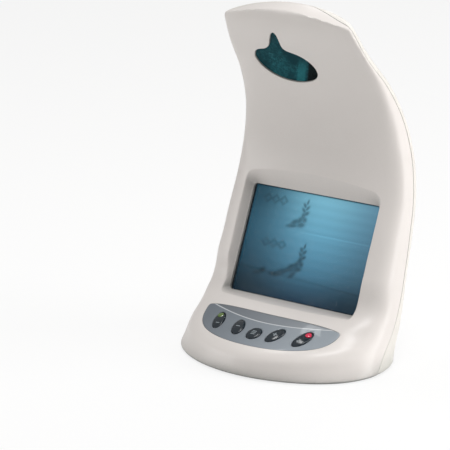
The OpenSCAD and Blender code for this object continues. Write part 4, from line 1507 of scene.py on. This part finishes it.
def screen_picture():
    """Display slab whose front grid carries the picture as vertex colours."""
    columns, rows = PANEL_POINTS
    panel_x, panel_y = np.meshgrid(np.linspace(-PANEL_HALF[0], PANEL_HALF[0], columns),
                                   np.linspace(-PANEL_HALF[1], PANEL_HALF[1], rows))
    image = picture_colors(panel_x / LIT_HALF[0], panel_y / LIT_HALF[1])
    count = columns * rows
    face_points = np.column_stack([panel_x.ravel(), panel_y.ravel(),
                                   np.full(count, PANEL_Z[0])])
    ids = np.arange(count).reshape(rows, columns)
    corners = (ids[:-1, :-1], ids[:-1, 1:], ids[1:, 1:], ids[1:, :-1])
    faces = [tuple(face) for face in np.stack([ids_.ravel() for ids_ in corners], -1)]
    rim = [*ids[0, :], *ids[1:, -1], *ids[-1, -2::-1], *ids[-2:0:-1, 0]]
    rear_points = face_points[rim].copy()
    rear_points[:, 2] = PANEL_Z[1]
    rear = list(range(count, count + len(rim)))
    faces += band(rim, rear)
    faces.append(tuple(reversed(rear)))
    points = SCREEN.to_world(np.vstack([face_points, rear_points]))
    display = emit("display_panel", points, faces, "casing", "lcd_glass", "lcd",
                   smooth=False)
    attribute = display.data.color_attributes.new("picture", "FLOAT_COLOR", "POINT")
    colors = np.zeros((len(points), 4), np.float32)
    colors[:, 3] = 1
    colors[:count, :3] = image.reshape(-1, 3)
    attribute.data.foreach_set("color", colors.ravel())
    display.data.materials.append(display_material())


screen_picture()

# ------------------------------------------------------------------ CAD pieces that stay
CAD_MATERIALS = {
    "base_plate": M_BASE, "rubber_feet": M_RUBBER, "base_screws": M_SCREW,
    "shell_screws": M_SCREW, "ballast_weight": M_WEIGHT, "screen_window": M_WINDOW,
    "lcd_frame": M_STEEL, "backlight": M_WHITE, "lcd_clips": M_STEEL,
    "clip_screws": M_SCREW, "screen_driver_board": M_PCB, "driver_board_chips": M_CHIP,
    "main_board": M_PCB, "main_board_parts": M_CHIP, "board_screws": M_SCREW,
    "green_lens": M_GREEN, "red_lens": M_RED, "button_board": M_PCB,
    "tact_switches": M_CHIP, "indicator_leds": M_LED, "return_pad": M_PAD,
    "camera_bracket": M_STEEL, "camera_board": M_PCB, "lens_holder": M_BLACK,
    "camera_lens": M_LENSGLASS, "ir_led_board": M_PCB, "ir_leds": M_LED,
    "head_screws": M_SCREW, "power_socket": M_BLACK, "video_socket": M_BLACK,
    "screen_ribbon": M_CABLE, "camera_cable": M_CABLE, "button_cable": M_CABLE,
}
for name, material in CAD_MATERIALS.items():
    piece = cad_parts[name]
    if not piece.data.materials:
        piece.data.materials.append(material)
    for slot in piece.material_slots:
        slot.link = "OBJECT"
        slot.material = material

# ------------------------------------------------------------------ floor (metres from here)
FLOOR_HALF = 6
floor_mesh = bpy.data.meshes.new("floor")
floor_mesh.from_pydata([(x * FLOOR_HALF, y * FLOOR_HALF, 0)
                        for x, y in ((-1, -1), (1, -1), (1, 1), (-1, 1))],
                       [], [(0, 1, 2, 3)])
floor = bpy.data.objects.new("floor", floor_mesh)
scene.collection.objects.link(floor)
floor_mesh.materials.append(floor_material())

# ------------------------------------------------------------------ world
WORLD_SIDE = 0.24       # strength at the horizon
WORLD_UP = 0.34         # added towards the zenith
WORLD_RIGHT = 0.04      # added towards +x


def studio_world():
    """Soft warm dome for the light, plain white for the camera."""
    g = Graph(bpy.data.worlds.new("studio"), "OutputWorld")
    direction = g.xyz("Generated")
    upward = g.calc("MAXIMUM", direction["Z"], 0.0)
    rightward = g.calc("MAXIMUM", direction["X"], 0.0)
    dome = g.calc("ADD", g.calc("MULTIPLY_ADD", upward, WORLD_UP, WORLD_SIDE),
                  g.calc("MULTIPLY", rightward, WORLD_RIGHT))
    light = g.node("Background", {"Color": (1.0, 0.995, 0.98), "Strength": dome})
    plain = g.node("Background", {"Color": (1.0, 1.0, 1.0), "Strength": 1.0})
    is_camera = g.node("LightPath").outputs["Is Camera Ray"]
    return g.finish(g.mix_shader(is_camera, light, plain))


scene.world = studio_world()


# ------------------------------------------------------------------ lights
def area(name, place, target, size, power, color=(1, 1, 1)):
    light = bpy.data.lights.new(name, "AREA")
    light.shape = "RECTANGLE"
    light.size, light.size_y = size
    light.energy = power
    light.color = color
    lamp = bpy.data.objects.new(name, light)
    scene.collection.objects.link(lamp)
    lamp.location = place
    aim = Vector(target) - Vector(place)
    lamp.rotation_euler = aim.to_track_quat("-Z", "Y").to_euler()


area("key", place=(0.95, 0.55, 0.62), target=(0, 0, 0.10), size=(0.7, 0.7), power=8.0,
     color=(1.0, 0.992, 0.98))
area("low_right", place=(1.0, 0.20, 0.16), target=(0.03, 0, 0.03), size=(0.35, 0.25),
     power=1.35, color=(1.0, 0.995, 0.985))
area("softbox", place=(0.26, -0.13, 1.0), target=(0, -0.02, 0.03), size=(0.34, 0.26),
     power=3.0, color=(0.99, 0.995, 1.0))
area("glint", place=(-0.33, 0.09, 0.97), target=(0.02, -0.035, 0.03), size=(0.2, 0.2),
     power=1.25)
area("fill", place=(-1.0, -0.75, 0.30), target=(0, 0, 0.20), size=(0.8, 0.6), power=3.1,
     color=(1.0, 0.998, 0.99))
area("back_rim", place=(-0.4, 1.2, 0.9), target=(0, 0, 0.12), size=(0.8, 0.5), power=1.9)

# ------------------------------------------------------------------ camera
AZIMUTH = math.radians(38.04)           # from straight in front, round to the right
ELEVATION = math.radians(16.09)
ROLL = math.radians(-0.65)
TARGET = Vector((-224.98, 222.17, 0))   # design frame, millimetres
DISTANCE = 1964.11                      # millimetres
FOCAL_LENGTH = 196.5312
SENSOR_WIDTH = 36

camera_data = bpy.data.cameras.new("camera")
camera = bpy.data.objects.new("camera", camera_data)
scene.collection.objects.link(camera)
backward = Vector((math.sin(AZIMUTH) * math.cos(ELEVATION),
                   -math.cos(AZIMUTH) * math.cos(ELEVATION), math.sin(ELEVATION)))
level_right = Vector((math.cos(AZIMUTH), math.sin(AZIMUTH), 0))
level_up = backward.cross(level_right)
right = level_right * math.cos(ROLL) + level_up * math.sin(ROLL)
up = -level_right * math.sin(ROLL) + level_up * math.cos(ROLL)
eye = TARGET + backward * DISTANCE
rotation = Matrix((right, up, backward)).transposed().to_4x4()
eye_metres = Vector((eye.x, eye.y - MID_Y, eye.z)) * 0.001
camera.matrix_world = Matrix.Translation(eye_metres) @ rotation
camera_data.sensor_width = SENSOR_WIDTH
camera_data.lens = FOCAL_LENGTH
camera_data.clip_start = 0.05
camera_data.clip_end = 50
scene.camera = camera
scene.view_settings.view_transform = "Standard"
scene.view_settings.look = "None"
scene.view_settings.exposure = 0.0
